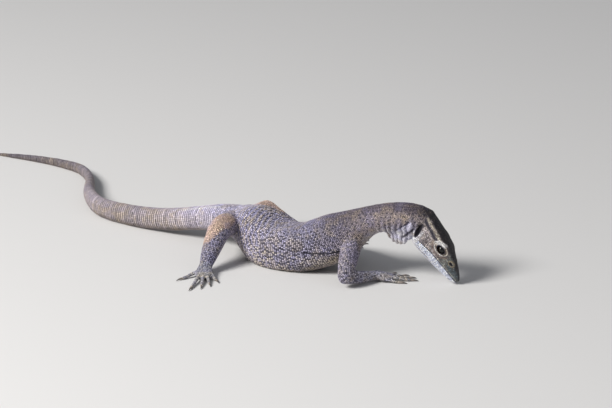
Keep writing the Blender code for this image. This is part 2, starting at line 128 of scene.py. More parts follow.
def tree_of(places):
    """A tree that finds the nearest of these places."""
    tree = KDTree(len(places))
    for number, place in enumerate(places):
        tree.insert(place, number)
    tree.balance()
    return tree


class Line:
    """A smooth line through points. At each sample it has a way, a side and an up."""

    def __init__(self, points, reach=6.0):
        points = np.array(points, float)
        knots = np.concatenate(([0], np.cumsum(np.linalg.norm(np.diff(points, axis=0), axis=1))))
        slopes = np.gradient(points, knots, axis=0)
        count = int(knots[-1] / SAMPLE) + 1
        self.marks = np.linspace(0, knots[-1], count)
        i = np.clip(np.searchsorted(knots, self.marks, side="right") - 1, 0, len(points) - 2)
        span = (knots[i + 1] - knots[i])[:, None]
        t = (self.marks - knots[i])[:, None] / span
        self.spots = (
            (2 * t**3 - 3 * t**2 + 1) * points[i] + (3 * t**2 - 2 * t**3) * points[i + 1]
            + (t**3 - 2 * t**2 + t) * span * slopes[i] + (t**3 - t**2) * span * slopes[i + 1]
        )
        self.knots = knots
        self.length = knots[-1]
        step = max(1, int(reach / SAMPLE))
        first, last = self.spots[:1].repeat(step, 0), self.spots[-1:].repeat(step, 0)
        padded = np.concatenate((first, self.spots, last))
        ways = padded[2 * step:] - padded[:-2 * step]
        self.ways = ways / np.linalg.norm(ways, axis=1)[:, None]
        sides = np.cross(UP, self.ways)
        self.sides = sides / np.linalg.norm(sides, axis=1)[:, None]
        self.ups = np.cross(self.ways, self.sides)
        self.tree = tree_of(self.spots)

    def at(self, mark):
        """The sample's number at this distance along the line."""
        return int(round(min(max(mark, 0), self.length) / self.length * (len(self.marks) - 1)))

    def outward(self, sample, turn):
        """The way straight out of the line at a sample, at this turn from the back."""
        return self.ups[sample] * math.cos(turn) + self.sides[sample] * math.sin(turn)

    def read(self, points):
        """For each point: how far along, the turn from the back, how far out, and the sample."""
        found = np.array([self.tree.find(point)[1] for point in points], int)
        off = points - self.spots[found]
        along = np.einsum("ij,ij->i", off, self.ways[found])
        side = np.einsum("ij,ij->i", off, self.sides[found])
        up = np.einsum("ij,ij->i", off, self.ups[found])
        return self.marks[found] + along, np.arctan2(side, up), np.hypot(side, up), found


print("a line has a sample every", SAMPLE, "mm")

# %% The trunk, the head and the limbs
# Points 0 to 11 of the spine are the tail's, 12 lies between the hips, 14 is the waist, 17 is
# on the ribs, 19 lies between the shoulders, and 20 to 22 are in the neck.
SPINE = (
    (-506, 97, 1.2), (-470, 103, 3.0), (-432, 109, 4.4), (-392, 111, 5.6), (-352, 105, 6.8), (-312, 78, 8.3),
    (-262, 22, 10.6), (-212, -12, 12.3), (-155, -16, 13.4), (-104, -11, 18), (-58, -5, 27), (-24, -2, 33.5),
    (6, 0, 34), (34, -6, 32.5), (54, -11, 31), (77, -14, 29.5), (106, -12, 29), (131, -5, 34.5),
    (151, 2, 43), (171, 9, 56), (196, 16, 71), (221, 23, 77.5), (242, 30, 78.5),
)
SNOUT_TIP = np.array((295.2, 54.4, 2.9))
HEAD_BACK = np.array((-0.472, -0.200, 0.859))
HEAD_LENGTH = 84
LIMBS = {
    "right_arm": ((172, 16, 48), (180, -4, 41), (189, -24, 29), (197, -40, 15), (204, -22, 10),
                  (210, 3, 7.4)),
    "left_arm": ((170, 2, 48), (165, 24, 42), (147, 41, 33), (129, 55, 23), (111, 64, 14), (93, 72, 7.4)),
    "right_leg": ((2, 4, 36), (6, -22, 37), (15, -46, 42), (22, -66, 40), (27, -85, 25), (31, -101, 9)),
    "left_leg": ((2, -4, 36), (-2, 22, 33), (-8, 46, 28), (-10, 69, 29), (10, 74, 18), (34, 78, 9)),
}

head_back = HEAD_BACK / np.linalg.norm(HEAD_BACK)
snout = SNOUT_TIP + ORIGIN
spine = Line(np.array(SPINE) + ORIGIN, reach=15)
head_line = Line([snout + head_back * behind for behind in (HEAD_LENGTH, 56, 28, 0)])
limb_lines = {name: Line(np.array(points) + ORIGIN, reach=5) for name, points in LIMBS.items()}
head_left = head_line.sides[0]
head_crown = head_line.ups[0]
print("the trunk's line is", round(spine.length), "mm long, and the head's", round(head_line.length))

# %% [markdown]
# ## One skin
#
# The solids meet with hair-thin gaps, as parts of a model must, but an animal has one
# skin. Copies of the solids of flesh are swollen a little so that the gaps close, joined,
# and rebuilt as one even mesh by a voxel remesh, which works like wrapping the whole
# shape in a fine net. A net of 0.8 mm is fine enough for lids and toes. Smoothing then
# takes off the solids' flat faces, strongly on the trunk and lightly on the digits.

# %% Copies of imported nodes, as one object
MERGE = 0.00001


def use(*things):
    """Select these objects alone, the first one active."""
    bpy.ops.object.select_all(action="DESELECT")
    for thing in things:
        thing.select_set(True)
    bpy.context.view_layer.objects.active = things[0]


def join_copies(names, title, swell):
    """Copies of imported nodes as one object, their corners merged, swollen by this many mm."""
    use(*[add_object(f"copy_{name}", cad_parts[name].data.copy()) for name in names])
    bpy.ops.object.join()
    joined = bpy.context.view_layer.objects.active
    joined.name = joined.data.name = title
    bpy.ops.object.mode_set(mode="EDIT")
    bpy.ops.mesh.select_all(action="SELECT")
    bpy.ops.mesh.remove_doubles(threshold=MERGE)
    bpy.ops.mesh.select_all(action="SELECT")
    bpy.ops.transform.shrink_fatten(value=swell * MM)
    bpy.ops.object.mode_set(mode="OBJECT")
    return joined


print("packed nodes that can be copied:", len(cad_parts))

# %% Meshes as rows of numbers
def read_rows(things, name, width, kind=np.float32):
    """One row of numbers for each thing in a mesh's list."""
    flat = np.empty(len(things) * width, kind)
    things.foreach_get(name, flat)
    return flat.reshape(-1, width)


def get_points(mesh):
    """A mesh's points as rows, in millimetres."""
    return read_rows(mesh.vertices, "co", 3).astype(float) / MM


def get_normals(mesh):
    """A mesh's point normals as rows."""
    return read_rows(mesh.vertex_normals, "vector", 3).astype(float)


def set_points(mesh, points):
    """Put a mesh's points where the rows say."""
    mesh.vertices.foreach_set("co", (points * MM).astype(np.float32).ravel())
    mesh.update()


print("the first row of the torso's points:", get_points(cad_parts["torso"].data)[0].round(1))

# %% The flesh, joined and rebuilt as one net
FLESH = ["head", "lower_jaw", "neck", "torso"] + [f"tail_{i}" for i in range(1, 7)]
FLESH += [f"{side}_{part}" for side in ("right", "left")
          for part in ("upper_arm", "forearm", "hand", "thigh", "shank", "foot")]
SWELL = 0.25
NET = 0.8
SCALE_DEPTH = 0.4
skin = join_copies(FLESH, "skin", SWELL)
remesh = skin.modifiers.new("net", "REMESH")
remesh.mode = "VOXEL"
remesh.voxel_size = NET * MM
bpy.ops.object.modifier_apply(modifier=remesh.name)
print("the skin's net has", len(skin.data.vertices), "points")

# %% Which part of the animal each point belongs to
PARTS = {name: number for number, name in enumerate(FLESH)}
HEAD_PARTS = [PARTS["head"], PARTS["lower_jaw"]]
TAIL_PARTS = [PARTS[f"tail_{i}"] for i in range(1, 7)]
TRUNK_PARTS = [PARTS["neck"], PARTS["torso"]] + TAIL_PARTS
LIMB_PARTS = {
    "right_arm": ("right_upper_arm", "right_forearm"),
    "left_arm": ("left_upper_arm", "left_forearm"),
    "right_leg": ("right_thigh", "right_shank"),
    "left_leg": ("left_thigh", "left_shank"),
}
PAW_PARTS = {
    "right_arm": "right_hand", "left_arm": "left_hand", "right_leg": "right_foot", "left_leg": "left_foot",
}
flesh_verts, flesh_faces, face_owner = [], [], []
for owner, name in enumerate(FLESH):
    base = len(flesh_verts)
    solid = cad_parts[name].data
    flesh_verts += [tuple(vertex.co / MM) for vertex in solid.vertices]
    flesh_faces += [tuple(base + corner for corner in face.vertices) for face in solid.polygons]
    face_owner += [owner] * len(solid.polygons)
flesh_tree = BVHTree.FromPolygons(flesh_verts, flesh_faces)
face_owner = np.array(face_owner)


def owners(places):
    """The number in FLESH of the solid that is nearest to each place."""
    return np.array([face_owner[flesh_tree.find_nearest(place)[2]] for place in places])


points = get_points(skin.data)
part_of = owners(points)
on_head = np.isin(part_of, HEAD_PARTS)
on_trunk = np.isin(part_of, TRUNK_PARTS)
on_paw = np.isin(part_of, [PARTS[name] for name in PAW_PARTS.values()])
print("points on the head", int(on_head.sum()), "trunk", int(on_trunk.sum()), "paws", int(on_paw.sum()))

# %% Places on the head
# Marks on the head: how far behind the snout, over its middle line, and out to the side.
EYE_AT = (46.8, 7.0, 11.7)
NOSTRIL_AT = (24.8, 7.1, 10.3)
PACKED_EAR_AT = (76.5, -3.4, 18)
MOUTH_LINE = (
    (0, -1.1), (20, -2.7), (30, -3.5), (40, -4.3), (48, -5.2), (57, -7.2), (64, -9.8), (70, -12.2), (80, -15),
)
MOUTH_CORNER = 68
# Ovals on the head's side: the middle, half the length and half the height, and the lean.
EYE_OVAL = ((47.2, 7.2), (6.2, 3.7), 9)
NOSTRIL_OVAL = (NOSTRIL_AT, (3.0, 1.7), 4)
EAR_OVAL = ((79.8, -5.4), (2.9, 10.0), 30)


def head_places(places):
    """Distance behind the snout, height over the head's middle line, and distance out to the left."""
    off = places - snout
    return np.stack((off @ head_back, off @ head_crown, off @ head_left), axis=1)


def from_head(behind, over, out):
    """The place in the model of a place on the head."""
    return snout + head_back * behind + head_crown * over + head_left * out


print("the right eye lies at", from_head(EYE_AT[0], EYE_AT[1], -EYE_AT[2]).round(1), "mm")

# %% Steps, humps, tables and ovals
def fade(values, low, high):
    """A smooth step from 0 at low to 1 at high."""
    t = np.clip((values - low) / (high - low), 0, 1)
    return t * t * (3 - 2 * t)


def bump(values, middle, width):
    """A smooth hump of height 1."""
    return np.exp(-((values - middle) / width) ** 2)


def along_table(values, table):
    """The second column of a table, at these values of its first."""
    return np.interp(values, [row[0] for row in table], [row[1] for row in table])


def over_mouth(behind, over):
    """How far a place on the head is over the mouth's line."""
    return over - along_table(behind, MOUTH_LINE)


def oval_gap(behind, over, oval):
    """Distance from the middle of a leaning oval on the head's side: 1 on its edge."""
    middle, sizes, lean = oval
    cosine, sine = math.cos(math.radians(lean)), math.sin(math.radians(lean))
    long = (behind - middle[0]) * cosine - (over - middle[1]) * sine
    short = (behind - middle[0]) * sine + (over - middle[1]) * cosine
    return np.hypot(long / sizes[0], short / sizes[1])


print("halfway up a step from 0 to 1:", fade(0.5, 0, 1))

# %% Points near the eyes and nostrils
on_skull = head_places(points)
side_of_head = np.abs(on_skull[:, 2])


def near_mark(place, radius):
    """1 at a mark on either side of the head, fading to 0 at the radius."""
    mirrored = np.column_stack((on_skull[:, :2], side_of_head))
    return 1 - fade(np.linalg.norm(mirrored - place, axis=1), 0.55 * radius, radius)


marks = np.maximum(near_mark(EYE_AT, 15), near_mark(NOSTRIL_AT, 7))
print("points near the eyes and nostrils:", int((on_head & (marks > 0.5)).sum()))

# %% Smoothing that gives back the bulk it takes
STEP = 0.6
LIMB_EASE, PAW_EASE, HEAD_EASE, MARK_SHARE = 0.55, 0.10, 0.30, 0.9
LEAST_EASE, FULL_EASE_OUT = 0.08, 16
ROUNDS = 60


def neighbour_means(values, edges, count):
    """The mean over each point's neighbours along these edges."""
    low, high = edges.T
    total = np.zeros(values.shape)
    for k in range(values.shape[1]):
        total[:, k] = np.bincount(low, values[high, k], len(values))
        total[:, k] += np.bincount(high, values[low, k], len(values))
    return total / count[:, None]


def neighbour_counts(edges, count):
    """How many neighbours each point has along these edges, at least 1."""
    return np.maximum(np.bincount(edges.ravel(), minlength=count), 1)


def soften(places, normals, edges, ease, rounds):
    """Smooth by ease, from 0 to 1 at each point, then swell back evenly by what was lost."""
    count = neighbour_counts(edges, len(places))
    moved = places.copy()
    for _ in range(rounds):
        moved += (ease * STEP)[:, None] * (neighbour_means(moved, edges, count) - moved)
    lost = np.einsum("ij,ij->i", places - moved, normals)[:, None]
    for _ in range(rounds):
        lost += STEP * (neighbour_means(lost, edges, count) - lost)
    return moved + normals * lost


trunk_marks = np.full(len(points), spine.length)
trunk_turns = np.zeros(len(points))
trunk_marks[on_trunk], trunk_turns[on_trunk], trunk_out, _ = spine.read(points[on_trunk])
ease = np.full(len(points), LIMB_EASE)
ease[on_paw] = PAW_EASE
ease[on_trunk] = np.clip(trunk_out / FULL_EASE_OUT, LEAST_EASE, 1)
ease[on_head] = HEAD_EASE * (1 - MARK_SHARE * marks[on_head])
edges = read_rows(skin.data.edges, "vertices", 2, np.int32)
points = soften(points, get_normals(skin.data), edges, ease, ROUNDS)
set_points(skin.data, points)
print("smoothed in", ROUNDS, "rounds")

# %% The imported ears, filled in
FILM_ROUNDS = 240


def fill_in(places, chosen, edges, rounds):
    """Stretch a film across the chosen points from the points round them."""
    near = edges[chosen[edges].any(axis=1)]
    count = neighbour_counts(near, len(places))
    for _ in range(rounds):
        places[chosen] = neighbour_means(places, near, count)[chosen]
    return places


packed_ear = near_mark(PACKED_EAR_AT, 13) > 0
points = fill_in(points, packed_ear, edges, FILM_ROUNDS)
set_points(skin.data, points)
print("filled in", int(packed_ear.sum()), "points; the ears are made anew further back")

# %% [markdown]
# ## Folds, lids, lips and wrinkles
#
# A monitor's skin is loose. It gathers in fine slanting wrinkles where the flank bends
# before the hip, in deep folds under the throat where the neck turns down, and in a
# crease before each shoulder. The mouth is a long closed line with a swollen lip above
# and below, and the eye sits between thick lids. Each of these is a small move of the
# skin's points along their normals, by a smooth function of the place on the body.

# %% A smooth random field
def random_field(places, size, seed):
    """Smooth noise from -1 to 1 whose lumps are about this large."""
    grid = np.random.default_rng(seed).random((24, 24, 24)) * 2 - 1
    cell = places / size
    base = np.floor(cell).astype(int)
    t = cell - base
    t = t * t * (3 - 2 * t)
    total = 0
    for corner in range(8):
        dx, dy, dz = corner & 1, corner >> 1 & 1, corner >> 2 & 1
        weight = (t[:, 0] if dx else 1 - t[:, 0]) * (t[:, 1] if dy else 1 - t[:, 1])
        weight = weight * (t[:, 2] if dz else 1 - t[:, 2])
        total = total + weight * grid[(base[:, 0] + dx) % 24, (base[:, 1] + dy) % 24, (base[:, 2] + dz) % 24]
    return total


print("the field at the origin:", random_field(np.zeros((1, 3)), 9, 11).round(3))

# %% Where the trunk folds
GROUND = 0.05
CREST_TURN = 0.42
knots = spine.knots


def along_knots(marks, table, column=1):
    """A column of a table, at these marks. Its first column counts the points of the spine."""
    return np.interp(marks, [knots[row[0]] for row in table], [row[column] for row in table])


def waist_arcs(places, marks, turns):
    """The arched wrinkles in front of the hips, from -1 in a furrow to 1 on a ridge."""
    loose = random_field(places, 9, 11)
    return np.sin((marks - 11 * np.abs(turns) + 2.2 * loose) * 2 * math.pi / 7.2)


def side_fold(places, marks, turns):
    """How far below the fold behind the armpit a place is, and how deep the fold is there."""
    height = 1.64 + 0.012 * (marks - knots[16] - 18) + 0.05 * random_field(places, 7, 14)
    depth = fade(marks, knots[16] + 4, knots[16] + 16) * fade(marks, knots[19] - 6, knots[19] - 18)
    return 31 * (np.abs(turns) - height), depth


def throat_folds(places, marks, turns):
    """The upright folds of the throat, from -1 in a furrow to 1 on a ridge, and where they are."""
    zone = fade(marks, knots[20] - 4, knots[21]) * fade(-np.cos(turns), -0.35, 0.35)
    slanted = marks - 6 * np.cos(turns) + 2.0 * random_field(places, 9, 11)
    return np.sin(slanted * 2 * math.pi / 7.0), zone


def neck_creases(behind, over):
    """1 in the crease behind the jaw, and nearly 1 in the one where the throat's bag begins."""
    jaw_crease = bump(behind, 85.9 + 0.2 * over, 1.4) * fade(over, -1, -5) * fade(over, -34, -27)
    bag_crease = bump(behind, 94.0 + 0.09 * (over + 10), 1.1) * fade(over, -7, -12) * fade(over, -36, -30)
    return np.maximum(jaw_crease, 0.8 * bag_crease)


print("the tail ends", round(knots[11]), "mm and the neck starts", round(knots[19]), "mm along the spine")

# %% Folds of the trunk and the throat
lift = np.zeros(len(points))
loose = random_field(points, 9, 11)
on_side = np.abs(np.sin(trunk_turns))
waist = bump(trunk_marks, knots[14] + 2, 22) * fade(np.cos(trunk_turns), -0.75, 0.1)
waist_wave = on_trunk * waist * np.minimum(waist_arcs(points, trunk_marks, trunk_turns), 0.5)
lift += 0.95 * waist_wave
fold_gap, fold_share = side_fold(points, trunk_marks, trunk_turns)
lift += on_trunk * fold_share * (0.8 * bump(fold_gap, -3.2, 2.2) - 1.5 * bump(fold_gap, 0, 1.1))
crest_rise = fade(trunk_marks, knots[8], knots[9]) * fade(trunk_marks, knots[11] + 18, knots[11])
lift += on_trunk * crest_rise * 0.40 * bump(np.abs(trunk_turns), CREST_TURN, 0.09)
ribs = bump(trunk_marks, knots[17], 40) * on_side
lift += on_trunk * ribs * 0.18 * np.sin((trunk_marks + 3 * loose) * 2 * math.pi / 9.5)
folds, throat_zone = throat_folds(points, trunk_marks, trunk_turns)
lift += on_trunk * throat_zone * (0.9 * folds - 0.3)
crease = bump(trunk_marks + 3.0 * loose, knots[19] + 4, 2.6) * fade(on_side, 0.3, 0.9)
lift -= on_trunk * crease * 0.9
lift += ~(on_head | on_paw) * 0.22 * random_field(points, 5, 12)
print("the deepest fold", round(float(lift.min()), 2), "mm, the highest", round(float(lift.max()), 2))

# %% The mouth, the lids, the nostrils and the ears
on_skull = head_places(points)
side_of_head = np.abs(on_skull[:, 2])
behind, over, out = on_skull.T
near_skull_or_neck = on_head | (part_of == PARTS["neck"])
near_skull = near_skull_or_neck & (behind < 92)
mouth_gap = over_mouth(behind, over)
in_mouth = near_skull * fade(behind, MOUTH_CORNER + 3, MOUTH_CORNER - 4)
in_mouth = np.clip(in_mouth * (fade(side_of_head, 0.0, 1.0) + (behind < 3)), 0, 1)
lift -= in_mouth * 1.05 * bump(mouth_gap, 0, 0.62)
lift += in_mouth * (0.35 * bump(mouth_gap, 1.9, 1.1) + 0.30 * bump(mouth_gap, -1.9, 1.1))

lids = oval_gap(behind, over, EYE_OVAL)
on_eye_side = on_head * fade(side_of_head, EYE_AT[2] - 1, EYE_AT[2] + 2)
lift += on_eye_side * (0.40 * bump(lids, 1.12, 0.14) - 0.35 * bump(lids, 1.42, 0.11))
lift += on_eye_side * (0.30 * bump(lids, 1.66, 0.13) - 0.25 * bump(lids, 1.95, 0.12))

lift += on_head * (side_of_head > 5) * 0.30 * bump(oval_gap(behind, over, NOSTRIL_OVAL), 1.3, 0.3)
ears = oval_gap(behind, over, EAR_OVAL)
on_ear_side = near_skull * fade(side_of_head, 9, 12)
lift -= on_ear_side * 2.3 * fade(ears, 1.15, 0.45)
lift += on_ear_side * 0.65 * bump(ears, 1.38, 0.24) * fade(behind + 0.55 * over, 80, 74)
lift -= near_skull_or_neck * fade(side_of_head, 7, 10) * 1.4 * neck_creases(behind, over)
lift -= on_head * 0.5 * bump(behind + 0.45 * over, 62, 5) * bump(over, -5, 6)
lift += on_head * 0.14 * random_field(points, 3.4, 13) * (1 - marks)
normals = get_normals(skin.data)
points += normals * (lift - SCALE_DEPTH - SWELL)[:, None]
points[:, 2] = np.maximum(points[:, 2], GROUND)
set_points(skin.data, points)
print("the skin lies", SCALE_DEPTH, "mm inside the solids, where its scales will stand")

# %% The skin in fewer faces
SKIN_FACES = 186000
FINE_WEIGHT = 0.25
spare = skin.vertex_groups.new(name="spare")
for weight, chosen in ((FINE_WEIGHT, on_head | on_paw), (1.0, ~(on_head | on_paw))):
    spare.add([int(i) for i in np.flatnonzero(chosen)], weight, "REPLACE")
use(skin)
fewer = skin.modifiers.new("fewer", "DECIMATE")
fewer.ratio = min(1, SKIN_FACES / (2 * len(skin.data.polygons)))
fewer.vertex_group = "spare"
fewer.use_collapse_triangulate = True
bpy.ops.object.modifier_apply(modifier=fewer.name)
bpy.ops.object.shade_smooth()
skin.vertex_groups.clear()
print("the skin has", len(skin.data.polygons), "triangles")

# %% [markdown]
# ## Where every scale sits
#
# The scales of a monitor are small, and lie in rows across the body. Each row is set out
# as a string is wound round: rays from the line in the middle find the skin all the way
# round, the length of that loop says how many scales fit, and every second row is moved
# on by half a scale, except on the tail, where the scales stand in straight rings. On the
# head, where scales are small and uneven, the places are shaken a little. Whatever stays
# bare after that is filled one scale at a time.

# %% The skin as rays see it
skin_points = get_points(skin.data)
skin_normals = get_normals(skin.data)
triangles = read_rows(skin.data.polygons, "vertices", 3, np.int32)
skin_tree = BVHTree.FromPolygons(skin_points.tolist(), triangles.tolist())
skin_part = owners(skin_points)
triangle_part = skin_part[triangles[:, 0]]
print("rays can find", len(triangles), "triangles")

# %% The digits' lines
FINGERS = ((13, 38, 5), (19, 16, 1), (24, 4, 0), (25, -6, 0), (18, -15, 7))
TOES = ((13, 30, 7), (20, 14, 2), (27, 2, 0), (35, -10, 0), (22, -46, 13))
PAWS = {
    "right_arm": (FINGERS, 17, 11.6, 2.3, 44, -1),
    "left_arm": (FINGERS, 17, 11.6, 2.3, 68, 1),
    "right_leg": (TOES, 25, 11.6, 2.6, -57, -1),
    "left_leg": (TOES, 25, 11.6, 2.6, 36, 1),
}
DIGIT_RISE = ((0, 4.8), (0.3, 4.4), (0.65, 2.6), (1, 1.7))


def level(degrees):
    """A level way, turned this far from straight ahead."""
    return np.array((math.cos(math.radians(degrees)), math.sin(math.radians(degrees)), 0))


palm_lines, digit_lines = {}, {}
for name, (digits, palm, half_width, thick, turn, side) in PAWS.items():
    wrist = np.array(LIMBS[name][-1]) + ORIGIN
    ahead = level(turn)
    across = np.cross(UP, ahead)
    knuckles = wrist + ahead * palm
    end = knuckles + ahead * 3
    middle = (wrist + end) / 2
    palm_lines[name] = Line([wrist, (*middle[:2], 5.0), (*end[:2], 4.0)], reach=3)
    for number, (length, spread, setback) in enumerate(digits):
        slot = (2 - number) / 2 * (half_width - thick * 0.9)
        root = knuckles - ahead * setback - across * (slot * side)
        way = level(turn - side * spread)
        rows = [(*(root + way * length * share)[:2], height) for share, height in DIGIT_RISE]
        digit_lines[name, number + 1] = Line(rows, reach=1.5)
print(len(digit_lines), "digits")

# %% What is noted of a scale
# A row holds its place, its normal, its way to the tail, its length and width, and then
# the number of its line, its mark and turn on that line, and its kind.
PLACE, NORMAL, WAY = slice(0, 3), slice(3, 6), slice(6, 9)
LONG, WIDE, LINE, MARK, TURN, KIND = range(9, 15)
TRUNK_DOME, RING, LIMB_DOME, PLATE_BAND, LIP, HEAD_GRAIN, LID_GRAIN = range(7)
coat, LINES = [], []


def add_scale(place, normal, way, *numbers):
    """Note one scale."""
    coat.append((*place, *normal, *way, *numbers))


def number_line(line):
    """The number of a new line."""
    LINES.append(line)
    return len(LINES) - 1


def find_skin(start, ray, reach, allowed=None):
    """Where a ray meets the skin of the allowed parts: the place, its normal and how far out."""
    hit, _, face, gap = skin_tree.ray_cast(start, ray, reach)
    if hit is None or (allowed and int(triangle_part[face]) not in allowed):
        return None
    return hit, skin_normals[triangles[face]].mean(axis=0), gap


print("numbers in a scale's row:", KIND + 1)

# %% Rows of scales round a line
SAMPLES_ROUND = 64
FEWEST_ROUND = 4
ROUND_TURNS = [2 * math.pi * i / SAMPLES_ROUND - math.pi for i in range(SAMPLES_ROUND + 1)]


def way_round(line, k, reach):
    """How far round the skin each turn is, at one sample of a line."""
    ring, out = [], 5.0
    for turn in ROUND_TURNS:
        ray = line.outward(k, turn)
        hit = skin_tree.ray_cast(line.spots[k], ray, reach)[0]
        ring.append(line.spots[k] + ray * out if hit is None else np.array(hit))
        out = float(np.linalg.norm(ring[-1] - line.spots[k]))
    return np.concatenate(([0], np.cumsum(np.linalg.norm(np.diff(ring, axis=0), axis=1))))


def bend_stretch(line, k, turn, gap):
    """How much further apart the rows are out on the skin than along the line."""
    ahead = min(k + 2, len(line.spots) - 1)
    if ahead <= k:
        return 1.0
    here, there = (line.spots[i] + line.outward(i, turn) * gap for i in (k, ahead))
    run = max(line.marks[ahead] - line.marks[k], 1e-3)
    return min(1.5, max(0.55, float(np.linalg.norm(there - here)) / run))


def set_out(line, parts, start, end, pitch, width, kind, shake=0.0, seed=0, reach=70.0, bricks=True):
    """Set scales in rows round a line. With bricks, each row is half a scale on from the last."""
    number = number_line(line)
    draws = np.random.default_rng(seed)
    mark, odd = start, 0
    while mark < end:
        k = line.at(mark)
        around = way_round(line, k, reach)
        wide = width(mark) if callable(width) else width
        long = pitch(mark) if callable(pitch) else pitch
        count = max(FEWEST_ROUND, round(around[-1] / wide))
        wide = around[-1] / count
        for place in (np.arange(count) + (0.5 if odd and bricks else 0.0)) / count * around[-1]:
            turn = float(np.interp(place, around, ROUND_TURNS))
            turn += shake * draws.normal() * wide / max(around[-1] / 6, 1)
            here = mark + shake * draws.normal() * long
            j = line.at(here)
            found = find_skin(line.spots[j], line.outward(j, turn), reach, parts)
            if found:
                hit, normal, gap = found
                stretch = bend_stretch(line, k, turn, gap)
                add_scale(hit, normal, -line.ways[j], long * stretch, wide, number, here, turn, kind)
        mark += long
        odd = 1 - odd
    return number


print("each row is felt out with", len(ROUND_TURNS), "rays")

# %% Rows on the trunk and the tail
TAIL_PITCH = ((0, 1.9), (60, 2.6), (420, 3.05))
BODY_PITCH = ((12, 2.7), (14, 2.35), (18, 2.35), (21, 1.55))
TRUNK_WIDTH = ((0, 1.6), (300, 2.1), (knots[12], 2.4), (knots[15], 2.2), (knots[20], 1.8))


def tail_pitch(mark):
    """The rows of the tail: 3 mm apart, and closer at the tip."""
    return float(along_table(mark, TAIL_PITCH))


def body_pitch(mark):
    """The rows of the trunk and the neck."""
    return float(along_knots(mark, BODY_PITCH))


def trunk_width(mark):
    """How wide a scale of the tail, trunk or neck is."""
    return float(along_table(mark, TRUNK_WIDTH))


tail_line = set_out(spine, TRUNK_PARTS, 2.0, knots[11], tail_pitch, trunk_width, RING, bricks=False)
trunk_line = set_out(
    spine, TRUNK_PARTS, knots[11], spine.length, body_pitch, trunk_width, TRUNK_DOME, shake=0.05, seed=1,
)
print("trunk and tail scales:", len(coat))

# %% Rows on the limbs, the paws and the digits
LIMB_PITCH, LIMB_WIDTH, PALM_SIZE = 2.15, 2.05, 1.9
SCUTE_PITCH = 1.75
SCUTES_ROUND = ((0, 3.5), (58, 1.9), (-58, 1.9), (105, 1.9), (-105, 1.9), (180, 3.0), (146, 1.8), (-146, 1.8))
ALL_LIMB_PARTS = [PARTS[part] for parts in LIMB_PARTS.values() for part in parts]
for number, (name, line) in enumerate(limb_lines.items()):
    parts = {PARTS[part] for part in (*LIMB_PARTS[name], PAW_PARTS[name])}
    set_out(
        line, parts, 6, line.length, LIMB_PITCH, LIMB_WIDTH, LIMB_DOME,
        shake=0.08, seed=10 + number, reach=30,
    )
for name, line in palm_lines.items():
    parts = {PARTS[PAW_PARTS[name]]}
    set_out(line, parts, 1, line.length, PALM_SIZE, PALM_SIZE, LIMB_DOME, shake=0.08, seed=20, reach=16)


def set_out_scutes(line, parts, start, end):
    """Set bands of plates along a digit: a broad one on top of each band, small ones beside it."""
    number = number_line(line)
    for mark in np.arange(start, end, SCUTE_PITCH):
        k = line.at(mark)
        slim = min(1, max(0.62, 1.25 - 0.6 * mark / line.length))
        for degrees, wide in SCUTES_ROUND:
            turn = math.radians(degrees)
            found = find_skin(line.spots[k], line.outward(k, turn), 5, parts)
            if found:
                hit, normal, _ = found
                size = (SCUTE_PITCH, wide * slim)
                add_scale(hit, normal, -line.ways[k], *size, number, mark, turn, PLATE_BAND)


for (name, number), line in digit_lines.items():
    set_out_scutes(line, {PARTS[PAW_PARTS[name]]}, 1, line.length + 0.4)
print("with the limbs:", len(coat))

# %% Scales of the head
LIP_SCALE, LIP_WIDTH, LIP_OFF = 2.3, 2.1, 1.75
GRANULE = 1.0
LID_RINGS = (1.12, 1.34, 1.56, 1.78)
LID_LEAN = (0.988, 0.156)  # the cosine and the sine
HEAD_WIDTH = ((0, 1.3), (20, 1.4), (50, 1.6), (84, 1.75))
head_number = number_line(head_line)


def add_on_head(behind, over, side, long, wide, kind):
    """A scale at a place on the head's side, found by a ray from its middle."""
    found = find_skin(from_head(behind, over, 0), head_left * side, 40)
    if found:
        hit, normal, gap = found
        turn = math.atan2(gap * side, over)
        add_scale(hit, normal, head_back, long, wide, head_number, HEAD_LENGTH - behind, turn, kind)


for side in (1, -1):
    behind = 2.0
    while behind < MOUTH_CORNER:
        line_over = -float(over_mouth(behind, 0))
        for step, off in ((0, LIP_OFF), (LIP_SCALE / 2, -LIP_OFF)):
            add_on_head(behind + step, line_over + off, side, LIP_SCALE, LIP_WIDTH, LIP)
        behind += LIP_SCALE

(eye_behind, eye_over), (eye_long, eye_short), _ = EYE_OVAL
cosine, sine = LID_LEAN
for side in (1, -1):
    for ring in LID_RINGS:
        around = math.pi * (eye_long + eye_short) * ring
        shift = 0.5 if ring == LID_RINGS[1] else 0
        for step in range(int(around / GRANULE)):
            turn = 2 * math.pi * (step + shift) * GRANULE / around
            long, short = eye_long * ring * math.cos(turn), eye_short * ring * math.sin(turn)
            behind, over = eye_behind + cosine * long + sine * short, eye_over - sine * long + cosine * short
            add_on_head(behind, over, side, GRANULE, GRANULE, LID_GRAIN)


def head_width(mark):
    """How wide a scale of the head is: smallest on the snout."""
    return float(along_table(HEAD_LENGTH - mark, HEAD_WIDTH))


set_out(
    head_line, HEAD_PARTS, 0.5, HEAD_LENGTH - 0.5, head_width, head_width, HEAD_GRAIN,
    shake=0.16, seed=3, reach=40,
)
print("with the head:", len(coat))

# %% Thinning, and filling what is bare
CELL = 3.0
NEXT_CELLS = [(dx, dy, dz) for dx in (-1, 0, 1) for dy in (-1, 0, 1) for dz in (-1, 0, 1)]
ROOM = 0.66
FILL_ROOM = 0.80


def cell_of(place):
    """The cell of the grid that a place is in."""
    return int(place[0] // CELL), int(place[1] // CELL), int(place[2] // CELL)


